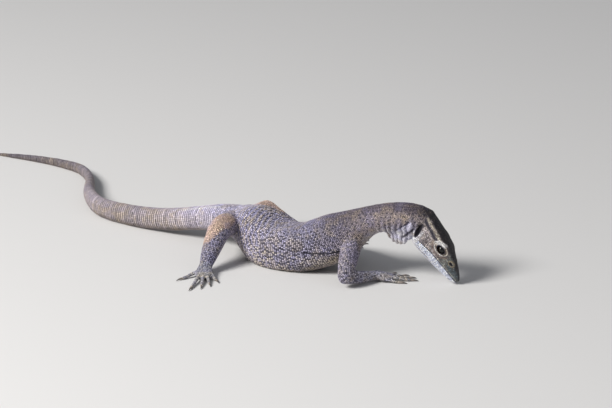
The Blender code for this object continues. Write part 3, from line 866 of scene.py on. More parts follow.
class Crowd:
    """Places already taken, in a grid of cells, to ask what is too near."""

    def __init__(self):
        self.cells = {}

    def free(self, place, size, room):
        """Is nothing nearer than room times the mean of the two sizes?"""
        (x, y, z), (cell_x, cell_y, cell_z) = place, cell_of(place)
        for dx, dy, dz in NEXT_CELLS:
            for other in self.cells.get((cell_x + dx, cell_y + dy, cell_z + dz), ()):
                gap = (other[0] - x)**2 + (other[1] - y)**2 + (other[2] - z)**2
                if gap < (room * (size + other[3]) / 2)**2:
                    return False
        return True

    def take(self, place, size):
        """Take a place."""
        self.cells.setdefault(cell_of(place), []).append((*place, size))


FIRST_KINDS = (LID_GRAIN, LIP, PLATE_BAND, RING)
order = np.array(coat, float)
rank = np.select([order[:, KIND] == kind for kind in FIRST_KINDS], [0, 1, 2, 3], len(FIRST_KINDS))
order = order[np.argsort(rank, kind="stable")]


def is_bare(places):
    """Where no scale sits: inside the eyes, the nostrils, the ears and the mouth."""
    behind, over, out = head_places(places).T
    away = np.abs(out)
    inside = (oval_gap(behind, over, EYE_OVAL) < 1.02) & (away > 9)
    inside |= (oval_gap(behind, over, NOSTRIL_OVAL) < 1.0) & (away > 5)
    inside |= (oval_gap(behind, over, EAR_OVAL) < 0.95) & (away > 9)
    inside |= (np.abs(over_mouth(behind, over)) < 0.55) & (behind < MOUTH_CORNER)
    return inside & (behind < 92) & (behind > -3) & (away < 26) & (np.abs(over) < 30)


order = order[~is_bare(order[:, PLACE])]
crowd = Crowd()
kept = []
for row in order:
    size = math.sqrt(row[LONG] * row[WIDE])
    if crowd.free(row[PLACE], size, ROOM):
        crowd.take(row[PLACE], size)
        kept.append(row)
print("kept", len(kept), "of", len(order))

# %% Filling what is bare
FILL_SIZE, HEAD_FILL, NECK_FILL, PAW_FILL = 1.9, 1.25, 1.3, 1.6
paw_numbers = {PARTS[name] for name in PAW_PARTS.values()}
fill_sizes = [FILL_SIZE] * len(FLESH)
for part in PARTS.values():
    if part in paw_numbers:
        fill_sizes[part] = PAW_FILL
    elif part in HEAD_PARTS:
        fill_sizes[part] = HEAD_FILL
fill_sizes[PARTS["neck"]] = NECK_FILL
middles = skin_points[triangles].mean(axis=1)
bare_faces = is_bare(middles)
near_kept = tree_of(np.array(kept)[:, PLACE])
filled = 0
for face in np.random.default_rng(5).permutation(len(triangles)):
    size = fill_sizes[triangle_part[face]]
    place = middles[face]
    if bare_faces[face] or not crowd.free(place, size, FILL_ROOM):
        continue
    crowd.take(place, size)
    model = kept[near_kept.find(place)[1]]
    corners = skin_points[triangles[face]]
    normal = np.cross(corners[1] - corners[0], corners[2] - corners[0])
    normal /= max(np.linalg.norm(normal), TINY)
    mark, turn, _, _ = LINES[int(model[LINE])].read(place[None])
    row = (*place, *normal, *model[WAY], size, size, model[LINE], mark[0], turn[0], model[KIND])
    kept.append(np.array(row))
    filled += 1
scales = np.array(kept)
print("filled", filled, "and in all", len(scales), "scales")

# %% [markdown]
# ## Markings
#
# A Bengal monitor is grey-brown with a lilac tint, partly its own and partly painted sky light,
# dotted all over with dark scales that stand about 4 mm apart. The back and the tail are
# palest over the hips, the neck is brown above and sandy at the side, and the throat is
# nearly white. The crown is dark brown, painted nearly black as painted shade, a dark stripe
# with a cream edge runs back from the eye, and the lower jaw is a pale lilac band. Painted
# shade also darkens the folds, the creases, the underside and the openings of the head, and
# painted light brightens a line along the tail, the ridge over the eye, the ear's front rim
# and the throat's folds. One function gives the ground colour of any place and how strongly
# the dark scales show there, and both the skin and its scales ask it, so that they agree.

# %% Colours, and how they are laid over each other
def rgb(*parts):
    """A colour from its parts, 0 to 255."""
    return np.array(parts) / 255


BAG, CREAM, PALE = rgb(244, 241, 252), rgb(228, 214, 192), rgb(236, 232, 238)
# The lilac is partly the skin's own colour and partly painted sky light.
DARK, SAND, LILAC = rgb(34, 31, 45), rgb(190, 168, 134), rgb(128, 126, 172)


def tint_along(values, stops, colours):
    """A colour that runs through these colours, one at each stop."""
    return np.stack([np.interp(values, stops, np.array(colours)[:, k]) for k in range(3)], axis=1)


def mix(first, second, share):
    """From the first colour to the second, by share."""
    return first + (second - first) * np.reshape(share, (-1, 1))


def lay(ground, *layers):
    """Lay colours over a ground, one after the other, each by its share."""
    for colour, share in layers:
        ground = mix(ground, colour, share)
    return ground


print("half way from dark to pale:", mix(DARK, PALE, 0.5).round(2))

# %% Colours by place on the trunk and the tail
# At a point of the spine: the back, the side, the underside, and how much the dark scales show.
# From the tail to the ribs the underside is darker than the side, as painted shade under the body.
TRUNK_TINTS = (
    (0, (112, 104, 108), (116, 107, 108), (110, 100, 98), 0.2),
    (4, (136, 127, 132), (134, 124, 126), (124, 112, 110), 0.16),
    (9, (192, 180, 188), (190, 177, 177), (144, 132, 128), 0.14),
    (11, (208, 202, 232), (204, 195, 211), (152, 141, 137), 0.26),
    (12, (202, 197, 224), (202, 194, 212), (156, 145, 140), 0.42),
    (14, (190, 185, 208), (192, 185, 206), (152, 140, 135), 0.75),
    (17, (150, 144, 166), (162, 156, 180), (156, 145, 138), 1.0),
    (19, (112, 102, 112), (138, 127, 136), (182, 170, 166), 0.95),
    (21, (110, 99, 110), (162, 148, 148), (224, 217, 224), 0.95),
    (22, (104, 93, 104), (168, 154, 156), (228, 222, 232), 0.9),
)
UNDER_FROM = ((0, -0.35), (18, -0.35), (22, -0.30))


def by_mark(mark, column):
    """The colour in a column of the trunk's table, at these marks."""
    stops = [knots[row[0]] for row in TRUNK_TINTS]
    return tint_along(mark, stops, [row[column] for row in TRUNK_TINTS]) / 255


def trunk_tint(places):
    """The trunk's and the tail's ground colour, and how strongly dark scales show on it."""
    mark, turn, _, _ = spine.read(places)
    height = np.cos(turn)
    under_from = along_knots(mark, UNDER_FROM)
    ground = mix(by_mark(mark, 3), by_mark(mark, 2), fade(height, under_from - 0.5, under_from))
    ground = mix(ground, by_mark(mark, 1), fade(height, 0.25, 0.85))
    dark = along_knots(mark, TRUNK_TINTS, 4)
    dark = dark * (1 - 0.35 * fade(height, 0.5, 0.95)) * (0.45 + 0.55 * fade(height, -0.95, -0.3))
    arcs = waist_arcs(places, mark, turn)
    near_waist = bump(mark, knots[13] + 12, 40) * fade(height, -0.7, 0.2)
    fold_gap, fold_share = side_fold(places, mark, turn)
    crest_highlight = bump(np.abs(turn), CREST_TURN, 0.11) * fade(mark, knots[9], knots[10])
    crest_highlight = crest_highlight * fade(mark, knots[11] + 16, knots[11])
    # Painted light and shade: on the wrinkles before the hips the ridges are sandy and the furrows a darker
    # lilac, partly the skin's own colour; the fold behind the armpit is darkened as painted shade; and a
    # painted highlight runs along the crest of the tail, where the dark scales fade.
    ground = lay(
        ground,
        (SAND, 0.46 * near_waist * fade(arcs, 0.0, 0.8)),
        (LILAC * 0.92, 0.42 * near_waist * fade(-arcs, 0.0, 0.9)),
        (CREAM, 0.45 * fold_share * bump(fold_gap, 13, 7)),
        (DARK, 0.70 * fold_share * bump(fold_gap, 0, 1.2)),
        (PALE, 0.85 * crest_highlight),
    )
    dark = dark * (1 - 0.7 * crest_highlight)
    bands = np.sin(mark * 2 * math.pi / 15 + 0.8 * random_field(places, 8, 30))
    on_tail = fade(mark, knots[11], knots[9])
    ground = ground * (1 - 0.10 * on_tail * np.clip(bands, 0, 1))[:, None]
    folds, zone = throat_folds(places, mark, turn)
    behind, over, _ = head_places(places).T
    near_jaw = fade(mark, knots[21] - 2, knots[21] + 6)
    bag = near_jaw * fade(behind + 1.5 * random_field(places, 5, 61), 94.5, 91) * fade(over, -5, -9)
    ochre = bump(mark, knots[22] - 4, 8) * bump(np.abs(turn), 1.25, 0.28)
    # In the throat's folds the furrows are darkened as painted shade and the ridges lightened as painted
    # light, and the creases behind the jaw are darkened as painted shade.
    ground = lay(
        ground,
        (BAG, 0.96 * bag),
        (DARK, 0.30 * zone * fade(-folds, 0.35, 0.95)),
        (PALE, 0.55 * zone * fade(folds, 0.1, 0.8) * fade(height, 0.0, -0.5)),
        (DARK, 0.88 * near_jaw * neck_creases(behind, over)),
        (SAND, 0.50 * ochre),
    )
    return ground, dark * (1 - 0.45 * bag)


print("the back over the hips:", (by_mark([knots[12]], 1) * 255).round())

# %% Colours of the limbs and the paws
LIMB_TINTS = {
    "right_arm": ((152, 142, 150), (160, 151, 166), (168, 166, 182)),
    "left_arm": ((144, 133, 140), (152, 143, 156), (160, 157, 172)),
    "right_leg": ((182, 172, 186), (168, 158, 174), (154, 149, 172)),
    "left_leg": ((182, 172, 186), (172, 162, 176), (160, 155, 174)),
}
PAW_TINT, THIGH_SAND, DIGIT_TINT = rgb(158, 157, 172), rgb(218, 186, 168), rgb(204, 202, 208)


def limb_tint(places, name):
    """A limb's ground colour from its root to the wrist or heel, sandy on the back of the thigh."""
    line = limb_lines[name]
    mark, turn, _, _ = line.read(places)
    ground = tint_along(mark / line.length, (0.1, 0.45, 0.9), np.array(LIMB_TINTS[name]) / 255)
    dark = np.interp(mark / line.length, (0.0, 0.5, 1.0), (0.6, 0.75, 0.7))
    if name.endswith("leg"):
        knee = line.knots[3]
        forward = (turn if name == "right_leg" else -turn) + 0.12 * random_field(places, 8, 31)
        border = knee + 23 - 23 * np.maximum(forward, 0) + 2.5 * random_field(places, 5, 32)
        sandy = fade(mark, border + 1.5, border - 2.5) * fade(mark, knee - 36, knee - 20)
        sandy *= fade(np.abs(forward + 0.15), 1.5, 1.15)
        ground = mix(ground, THIGH_SAND, 0.88 * sandy)
        dark = dark * (1 - 0.85 * sandy)
    return ground, dark


def paw_tint(places, name):
    """A paw: grey, banded pale and dark along each digit."""
    wrist = limb_lines[name].spots[-1]
    reach = np.linalg.norm(places[:, :2] - wrist[:2], axis=1)
    palm = fade(reach, 26, 16)
    bands = fade(np.sin(reach * 2 * math.pi / 7), -0.2, 0.6) * (1 - palm)
    ground = lay(DIGIT_TINT, (PAW_TINT, palm), (CREAM, 0.40 * bands))
    return ground * (1 - 0.22 * (1 - palm) * (1 - bands))[:, None], 0.55 * palm + 0.10


print("limbs with colours of their own:", len(LIMB_TINTS))

# %% Colours of the head's crown and openings
# The crown's colour is its dark brown painted nearly black, as painted shade.
SNOUT, CHEEK, SHADED_CROWN, JAW = rgb(102, 114, 120), rgb(156, 147, 150), rgb(32, 27, 32), rgb(228, 233, 255)
RIM, RING_TINT, BAR, CROWN_SCALE = rgb(255, 252, 248), rgb(120, 98, 84), rgb(78, 67, 68), rgb(78, 66, 62)
CANTHUS = ((0, 1.2), (10, 4.2), (22, 8.8), (35, 12.2), (48, 14.0), (62, 13.0), (92, 12.0))


def lay_crown(ground, places, wobble):
    """The crown, dark brown painted nearly black as painted shade, and the pale edge of the ridge that it
    ends at, over the eye, which is partly painted light.
    """
    behind, over, _ = head_places(places).T
    edge = along_table(behind, CANTHUS)
    crown = mix(SHADED_CROWN, CROWN_SCALE, 0.5 * fade(random_field(places, 4.5, 45), 0.1, 0.6))
    crown_share = fade(over + 0.9 * wobble, edge - 0.2, edge + 1.6) * (0.55 + 0.45 * fade(behind, 2, 26))
    return lay(
        ground,
        (CREAM, 0.50 * bump(over + 0.4 * wobble, edge - 1.2, 1.0) * fade(behind, 14, 24)),
        (crown, (0.96 - 0.06 * fade(behind, 76, 90)) * crown_share),
    )


def lay_openings(ground, behind, over, away):
    """The lids' rings, the nostril and the ear, with painted shade in the openings and painted light over the
    eye and on the ear's front rim.
    """
    lids = oval_gap(behind, over, EYE_OVAL)
    by_eye = fade(away, EYE_AT[2] - 3, EYE_AT[2])
    toward = np.arctan2(over - EYE_AT[1], behind - EYE_AT[0])
    upper_rear = fade(np.cos(toward - 0.80), 0.40, 0.82)
    lower = fade(np.cos(toward + 1.5), 0.0, 0.6)
    rings = bump(lids, 1.36, 0.07) + bump(lids, 1.78, 0.06)
    nostril = oval_gap(behind, over, NOSTRIL_OVAL)
    by_nostril = away > 5
    ear = oval_gap(behind, over, EAR_OVAL)
    by_ear = fade(away, 9, 12)
    # Painted shade darkens the opening round the eyeball, the nostril and the ear. The white patch above and
    # behind the eye and the ear's front rim are partly pale skin and partly painted light.
    return lay(
        ground,
        (RING_TINT, 0.60 * by_eye * bump(lids, 2.15, 0.24) * fade(over, 9, 4)),
        (SAND, 0.55 * by_eye * fade(lids, 1.80, 1.60)),
        (RIM, 0.98 * by_eye * upper_rear * fade(lids, 2.25, 1.95)),
        (RIM, 0.95 * by_eye * (1 - upper_rear) * bump(lids, 1.56, 0.11) * (0.5 + 0.5 * lower)),
        (BAR, 0.70 * by_eye * (1 - 0.7 * upper_rear) * rings),
        (DARK, 0.94 * by_eye * fade(lids, 1.26, 1.06)),
        (SAND, 0.8 * by_nostril * bump(nostril, 1.45, 0.35)),
        (DARK, 0.9 * by_nostril * fade(nostril, 1.1, 0.85)),
        (PALE, 0.95 * by_ear * fade(ear, 2.6, 1.9) * fade(behind + 0.55 * over, 78, 74)),
        (DARK, 0.96 * by_ear * fade(ear, 1.16, 0.96)),
    )


print("over the eye the crown starts", float(along_table(EYE_AT[0], CANTHUS)), "mm up")

# %% Colours of the head
def head_tint(places):
    """The head's colour by its own places: cheek, snout, crown, stripe, lips and jaw."""
    behind, over, out = head_places(places).T
    away = np.abs(out)
    wobble = random_field(places, 4, 40)
    net = bump(random_field(places, 3.4, 41), 0, 0.15)
    on_snout = fade(behind, 46, 36)
    pale = bump(behind, 33, 5) * bump(over, 4.0, 3.5) + 0.6 * fade(random_field(places, 3.5, 42), 0.1, 0.5)
    ground = lay(
        SNOUT,
        (CHEEK, fade(behind + 3 * wobble, 32, 42)),
        (CREAM, 0.30 * fade(random_field(places, 5, 47), 0.1, 0.5) * fade(behind, 40, 50)),
        (BAR, 0.72 * net * fade(behind, 34, 44)),
        (CREAM, 0.42 * pale * on_snout),
        (RING_TINT, 0.30 * on_snout * fade(random_field(places, 2.6, 43), 0.15, 0.5)),
        (BAR, 0.40 * on_snout * bump(random_field(places, 3.2, 44), 0, 0.10)),
    )
    ground = lay_crown(ground, places, wobble)
    behind_eye = fade(behind, 53, 56) * fade(behind, 92, 86) * fade(away, 8, 12)
    bar = bump(behind + 0.7 * (over - 3) + 0.6 * wobble, 37.5, 1.1) * fade(over, -3.5, -1) * fade(over, 12, 9)
    mouth_gap = over_mouth(behind, over)
    jaw = fade(mouth_gap, -0.1, -0.8) * fade(behind + 0.2 * over, 84, 78)
    ground = lay(
        ground,
        (CREAM, 0.75 * behind_eye * bump(over + 0.4 * wobble, 11.5, 1.4)),
        (DARK, 0.90 * behind_eye * bump(over + 0.3 * wobble, 8.1, 1.5)),
        (CREAM, 0.30 * behind_eye * bump(over, 4.6, 1.2)),
        (BAR, 0.75 * bar),
        (CREAM, 0.30 * bump(mouth_gap, 2.0, 1.3) * fade(behind, 66, 60)),
        (JAW, jaw),
    )
    bars = fade(np.sin(behind * 2 * math.pi / 6.5 + 1.5 * wobble), 0.55, 0.95)
    # The brown line below the jaw band is painted shadow between the jaw and the throat, and the dark mouth
    # line is painted shade in its crease.
    jaw_edge_shadow = bump(mouth_gap + 0.5 * wobble, -9.6, 0.7) * fade(behind, 30, 44)
    ground = lay(
        ground,
        (ground * 0.74, 0.8 * jaw * bars * fade(mouth_gap, -7.5, -4.5)),
        (RING_TINT, 0.65 * jaw_edge_shadow * jaw),
        (DARK, 0.85 * bump(mouth_gap, 0, 0.45) * fade(behind, MOUTH_CORNER + 2, MOUTH_CORNER - 3)),
    )
    ground = lay_openings(ground, behind, over, away)
    return ground, 0.25 * (1 - jaw) * fade(behind, 50, 70) + 0.12


print("the snout's tip:", (head_tint(snout[None])[0] * 255).round())

# %% The markings of any place
def by_part(places, part, tint, numbers, ground, dark):
    """Put one tint function's answer where the part is one of these."""
    chosen = np.isin(part, numbers)
    if chosen.any():
        ground[chosen], dark[chosen] = tint(places[chosen])


def lay_nape(places, ground, dark):
    """The neck's answers near the head: the head's own colours, and the crown's painted shade running out."""
    behind, over, _ = head_places(places).T
    share = fade(behind, 93, 85) * fade(over, -13, -6)
    share = np.maximum(share, fade(oval_gap(behind, over, EAR_OVAL), 1.6, 1.25))
    head_ground, head_dark = head_tint(places)
    shade = 0.90 * fade(behind + 5 * random_field(places, 6, 56), 132, 84) * fade(over, 2, 14)
    ground = lay(ground, (head_ground, share), (SHADED_CROWN, shade * (1 - share)))
    return ground, dark + (head_dark - dark) * share


def markings(places, part):
    """The ground colour of each place on the animal, and how strongly dark scales show there."""
    ground = np.zeros((len(places), 3))
    dark = np.zeros(len(places))
    by_part(places, part, trunk_tint, TRUNK_PARTS, ground, dark)
    by_part(places, part, head_tint, HEAD_PARTS, ground, dark)
    for name in LIMBS:
        limb_numbers = [PARTS[piece] for piece in LIMB_PARTS[name]]
        by_part(places, part, lambda rows, name=name: limb_tint(rows, name), limb_numbers, ground, dark)
        paw_number = [PARTS[PAW_PARTS[name]]]
        by_part(places, part, lambda rows, name=name: paw_tint(rows, name), paw_number, ground, dark)
    nape = part == PARTS["neck"]
    ground[nape], dark[nape] = lay_nape(places[nape], ground[nape], dark[nape])
    on_tail = np.isin(part, TAIL_PARTS)
    not_head = (~np.isin(part, HEAD_PARTS)).astype(float)
    hue = random_field(places, 7, 52) + 0.6 * random_field(places, 19, 53)
    hue = hue + 0.5 * random_field(places, 3.4, 55)
    ground = lay(
        ground,
        (SAND, 0.30 * not_head * fade(hue, 0.0, 0.8)),
        (LILAC, (0.28 - 0.16 * on_tail) * not_head * fade(-hue, 0.0, 0.8)),
    )
    ground = ground * (1 + 0.06 * random_field(places, 24, 54))[:, None]
    return np.clip(ground, 0.01, 1), dark


def to_linear(shown):
    """A colour as it looks, turned into amounts of light for a material, by the sRGB curve."""
    return np.where(shown <= 0.04045, shown / 12.92, ((shown + 0.055) / 1.055) ** 2.4)


print("the dark colour as light:", to_linear(DARK).round(4))

# %% Which scales are dark
NECK_GAP, TAIL_GAP, FLANK_GAP, TRUNK_GAP, LIMB_GAP = 4.4, 4.4, 3.1, 3.7, 3.3
SPOT_REACH, NECK_SPOT_REACH = 0.1, 1.3
HEAD_SPREAD, RING_SPREAD, BODY_SPREAD, RING_TONE = 0.16, 0.045, 0.09, 0.04
scale_places, scale_marks, scale_turns = scales[:, PLACE], scales[:, MARK], scales[:, TURN]
scale_part = owners(scale_places)
is_trunk = np.isin(scale_part, TRUNK_PARTS)
is_neck = scale_part == PARTS["neck"]
is_head = np.isin(scale_part, HEAD_PARTS)
ground, dark = markings(scale_places, scale_part)
own = np.random.default_rng(8)
in_ring = scales[:, KIND] == RING
tone_spread = np.select([is_head, in_ring], [HEAD_SPREAD, RING_SPREAD], BODY_SPREAD)
tone = 1 + tone_spread * own.normal(size=len(scales))
ring_marks, ring_number = np.unique(scale_marks.round(2), return_inverse=True)
tone += RING_TONE * in_ring * own.normal(size=len(ring_marks))[ring_number]
near_scale = tree_of(scale_places)
on_flank = bump(scale_marks, knots[17], 60) * (np.cos(scale_turns) < 0.7) > 0.4
zones = [is_neck, is_trunk & (scale_marks < knots[11]), is_trunk & on_flank, is_trunk]
spot_gap = np.select(zones, [NECK_GAP, TAIL_GAP, FLANK_GAP, TRUNK_GAP], LIMB_GAP)
spot = np.zeros(len(scales))
spot_crowd = Crowd()
for number in own.permutation(len(scales)):
    place, gap = scale_places[number], spot_gap[number]
    if spot_crowd.free(place, gap, 1.0):
        spot_crowd.take(place, gap)
        strength = own.uniform(0.6, 1.0)
        for _, other, _ in near_scale.find_range(place, NECK_SPOT_REACH if is_neck[number] else SPOT_REACH):
            spot[other] = max(spot[other], strength)
low_flank = bump(scale_marks, knots[15], 34) * (np.abs(np.abs(scale_turns) - 2.05) < 0.42) * is_trunk
pale = (own.random(len(scales)) < 0.10 + 0.25 * low_flank) & (spot == 0)
scale_tint = lay(
    np.clip(ground * tone[:, None], 0.01, 1),
    (CREAM, (0.35 + 0.3 * low_flank) * pale * np.clip(dark + 0.2, 0, 1)),
    (DARK, 0.85 * dark * spot),
)
print("dark scales:", int((spot > 0).sum()), "pale ones:", int(pale.sum()))

# %% The skin takes its spots from the scales on it
GAP_SHADES = {"lower_jaw": 0.80, "head": 0.60}
GAP_SHADES.update({f"tail_{i}": 0.34 for i in range(1, 7)})
GAP_SHADE, LID_GAP_SHADE = 0.58, 0.90
nearest = np.array([near_scale.find(place)[1] for place in skin_points])
skin_ground, skin_dark = markings(skin_points, skin_part)
gap_shade = np.array([GAP_SHADES.get(name, GAP_SHADE) for name in FLESH])[skin_part]
behind, over, _ = head_places(skin_points).T
gap_shade[(skin_part == PARTS["head"]) & (oval_gap(behind, over, EYE_OVAL) < 2.3)] = LID_GAP_SHADE
gap_shade[(skin_part == PARTS["neck"]) & (behind < 94) & (over < -8)] = LID_GAP_SHADE
skin_tint = mix(skin_ground, DARK, 0.85 * skin_dark * spot[nearest]) * gap_shade[:, None]
print("the skin's mean colour", (skin_tint.mean(axis=0) * 255).round())

# %% A colour for each point of a mesh
def give_tint(mesh, shown):
    """Store a colour for each point, which the material reads."""
    rows = np.ones((len(mesh.vertices), 4), np.float32)
    rows[:, :3] = to_linear(shown)
    layer = mesh.color_attributes.new("tint", "FLOAT_COLOR", "POINT")
    layer.data.foreach_set("color", rows.ravel())


give_tint(skin.data, skin_tint)
print("points with a colour:", len(skin_tint))

# %% [markdown]
# ## One scale, many times
#
# A scale is a low dome with a closed underside that sinks into the skin, so no light
# passes under it. It is 6-sided, because packed scales press each other into hexagons.
# On the tail it has a keel. The edge towards the tail stands a little free. Each is
# turned to the lie of the body and joined with its neighbours into a few large meshes,
# which a renderer takes far better than thousands of separate objects.

# %% Two scale shapes, as points and triangles
SIDES = 6


def outline_turned(halves):
    """A regular outline, turned by this many half sides."""
    turns = [math.pi * (2 * k + halves) / SIDES for k in range(SIDES)]
    return [(math.cos(turn), math.sin(turn)) for turn in turns]


OUTLINE, PLATE_OUTLINE = outline_turned(0), outline_turned(1)
RING_OUTLINE = ((0.74, 0.97), (0.0, 1.02), (-0.74, 0.97), (-0.74, -0.97), (0.0, -1.02), (0.74, -0.97))


def scale_shape(keeled=False, outline=OUTLINE):
    """Points as (along, across, height) of a scale one unit long, wide and high, and its triangles."""
    shape = [(x * 0.52, y * 0.54, -0.7) for x, y in outline]
    shape += [(x * 0.45, y * 0.46, 0.52 + 0.22 * max(x, 0)) for x, y in outline]
    faces = [(0, k + 1, k) for k in range(1, SIDES - 1)]
    for k in range(SIDES):
        n = (k + 1) % SIDES
        faces += [(k, n, SIDES + n), (k, SIDES + n, SIDES + k)]
    if keeled:
        shape += [(0.26, 0, 1.15), (-0.22, 0, 0.85)]
        front, back = 2 * SIDES, 2 * SIDES + 1
        tops = [front if outline[k][0] + outline[(k + 1) % SIDES][0] > -0.1 else back for k in range(SIDES)]
        for k in range(SIDES):
            n = (k + 1) % SIDES
            faces.append((SIDES + k, SIDES + n, tops[k]))
            if tops[k] != tops[n]:
                faces.append((SIDES + n, tops[n], tops[k]))
    else:
        shape.append((0, 0, 1.0))
        faces += [(SIDES + k, SIDES + (k + 1) % SIDES, 2 * SIDES) for k in range(SIDES)]
    return np.array(shape), np.array(faces)


DOME, PLATE = scale_shape(), scale_shape(outline=PLATE_OUTLINE)
KEELED = scale_shape(keeled=True, outline=RING_OUTLINE)
print("triangles in a dome", len(DOME[1]), "and in a keeled scale", len(KEELED[1]))

# %% Joined meshes of scales
PATCH, DIP = 0.003, 0.03
SCALE_HEIGHTS = {
    TRUNK_DOME: 0.42, RING: 0.42, LIMB_DOME: 0.40, PLATE_BAND: 0.30,
    LIP: 0.28, HEAD_GRAIN: 0.24, LID_GRAIN: 0.26,
}


def make_scales(name, rows, tints, shape):
    """One mesh of many scales, with a colour for each and its patch on the map of the skin."""
    form, faces = shape
    count, corners = len(rows), len(form)
    normal = rows[:, NORMAL] / np.linalg.norm(rows[:, NORMAL], axis=1)[:, None]
    way = rows[:, WAY] - normal * np.einsum("ij,ij->i", rows[:, WAY], normal)[:, None]
    way /= np.maximum(np.linalg.norm(way, axis=1), TINY)[:, None]
    across = np.cross(normal, way)
    height = np.array([SCALE_HEIGHTS[int(kind)] for kind in rows[:, KIND]])
    height *= np.clip(np.sqrt(rows[:, LONG] * rows[:, WIDE]) / 2.2, 0.6, 1.15)
    spread = rows[:, None, PLACE]
    for column, (sizes, axis) in enumerate(((rows[:, LONG], way), (rows[:, WIDE], across), (height, normal))):
        spread = spread + (sizes[:, None] * form[:, column])[..., None] * axis[:, None]
    spread[..., 2] = np.maximum(spread[..., 2], GROUND - DIP)
    mesh = bpy.data.meshes.new(name)
    whole = (np.arange(count)[:, None, None] * corners + faces[None]).reshape(-1, 3)
    mesh.vertices.add(count * corners)
    mesh.loops.add(len(whole) * 3)
    mesh.polygons.add(len(whole))
    mesh.vertices.foreach_set("co", (spread.reshape(-1, 3) * MM).astype(np.float32).ravel())
    mesh.loops.foreach_set("vertex_index", whole.ravel().astype(np.int32))
    mesh.polygons.foreach_set("loop_start", np.arange(0, len(whole) * 3, 3, dtype=np.int32))
    mesh.polygons.foreach_set("use_smooth", np.ones(len(whole), bool))
    mesh.update(calc_edges=True)
    mesh.validate()
    # Each scale is painted darker towards its base and lighter at its top: painted shade between the scales
    # and painted light on their tops.
    shade = np.interp(form[:, 2], (-0.7, 0.3, 0.8, 1.1), (0.45, 0.78, 1.0, 1.06))
    give_tint(mesh, np.clip(tints[:, None] * shade[None, :, None], 0, 1).reshape(-1, 3))
    give_patches(mesh, rows, form, whole)
    piece = add_object(name, mesh)
    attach(piece, "root")
    print(name, count, "scales,", len(whole), "triangles")
    return piece


def give_patches(mesh, rows, form, whole):
    """A map where each line of the body is a band, opened below, and each scale a small patch."""
    lines = np.unique(rows[:, LINE])
    band = 1 / len(lines)
    flat = np.zeros((len(rows), 2))
    for number, line in enumerate(lines):
        chosen = rows[:, LINE] == line
        mark = rows[chosen, MARK]
        flat[chosen, 0] = 0.02 + 0.96 * (mark - mark.min()) / max(float(np.ptp(mark)), 1)
        flat[chosen, 1] = band * (number + 0.05 + 0.9 * (rows[chosen, TURN] / (2 * math.pi) + 0.5) % 1)
    patch = flat[:, None] + form[None, :, :2] * PATCH
    layer = mesh.uv_layers.new(name="OFBake")
    layer.data.foreach_set("uv", patch.reshape(-1, 2)[whole.ravel()].astype(np.float32).ravel())


# %% The pieces of the coat
on_spine = np.isin(scales[:, LINE], (tail_line, trunk_line))
under = np.cos(scale_turns) < -0.25
is_tail = is_trunk & on_spine & (scale_marks < knots[11])
is_body = is_trunk & ~is_tail & ~is_neck
is_jaw = scale_part == PARTS["lower_jaw"]
is_paw = np.isin(scale_part, list(paw_numbers))
is_limb = np.isin(scale_part, ALL_LIMB_PARTS)
is_plate = scales[:, KIND] == PLATE_BAND
COATS = (
    ("tail_scales", is_tail, KEELED, "tail_skin"),
    ("back_scales", is_body & ~under, DOME, "back_skin"),
    ("belly_scales", is_body & under, DOME, "back_skin"),
    ("neck_scales", is_neck, DOME, "back_skin"),
    ("head_scales", is_head & ~is_jaw, DOME, "back_skin"),
    ("jaw_scales", is_jaw, DOME, "jaw_skin"),
    ("limb_scales", is_limb, DOME, "limb_skin"),
    ("paw_scales", is_paw & ~is_plate, DOME, "limb_skin"),
    ("digit_scales", is_paw & is_plate, PLATE, "limb_skin"),
)
coats = {name: make_scales(name, scales[chosen], scale_tint[chosen], shape)
         for name, chosen, shape, slot_name in COATS}
print("scales in pieces:", sum(int(row[1].sum()) for row in COATS), "of", len(scales))

# %% [markdown]
# ## Skin and scale materials
#
# Reptile skin is dry horn over a soft base: a broad dull shine with finer bright points
# where light catches the scales' edges. The colour comes from the points' own tint. One
# fine noise breaks it up within each scale, and roughens and dents the surface too.

# %% Parts that the materials share
def new_material(name):
    """A material, its tree and its shader."""
    material = bpy.data.materials.new(name)
    material.use_nodes = True
    return material, material.node_tree, material.node_tree.nodes["Principled BSDF"]


def set_values(node, values):
    """Set a node's inputs by their names."""
    for name, value in values.items():
        node.inputs[name].default_value = value


def add_node(tree, kind, values, source=None, target=None):
    """A node with these values, and with a source joined to one of its inputs."""
    node = tree.nodes.new(kind)
    set_values(node, values)
    if source:
        tree.links.new(source, node.inputs[target])
    return node


def add_noise(tree, values):
    """Noise that sits still on the object."""
    place = tree.nodes.new("ShaderNodeTexCoord")
    return add_node(tree, "ShaderNodeTexNoise", values, place.outputs["Object"], "Vector").outputs["Fac"]


def read_attribute(tree, name):
    """A node that reads what is stored at a mesh's points."""
    node = tree.nodes.new("ShaderNodeAttribute")
    node.attribute_name = name
    return node


def multiply(tree, shader, first, second):
    """Give the shader the product of two colours."""
    colour = tree.nodes.new("ShaderNodeMix")
    colour.data_type = "RGBA"
    colour.blend_type = "MULTIPLY"
    colour.inputs["Factor"].default_value = 1
    tree.links.new(first, colour.inputs["A"])
    tree.links.new(second, colour.inputs["B"])
    tree.links.new(colour.outputs["Result"], shader.inputs["Base Color"])


print("materials so far:", len(bpy.data.materials))

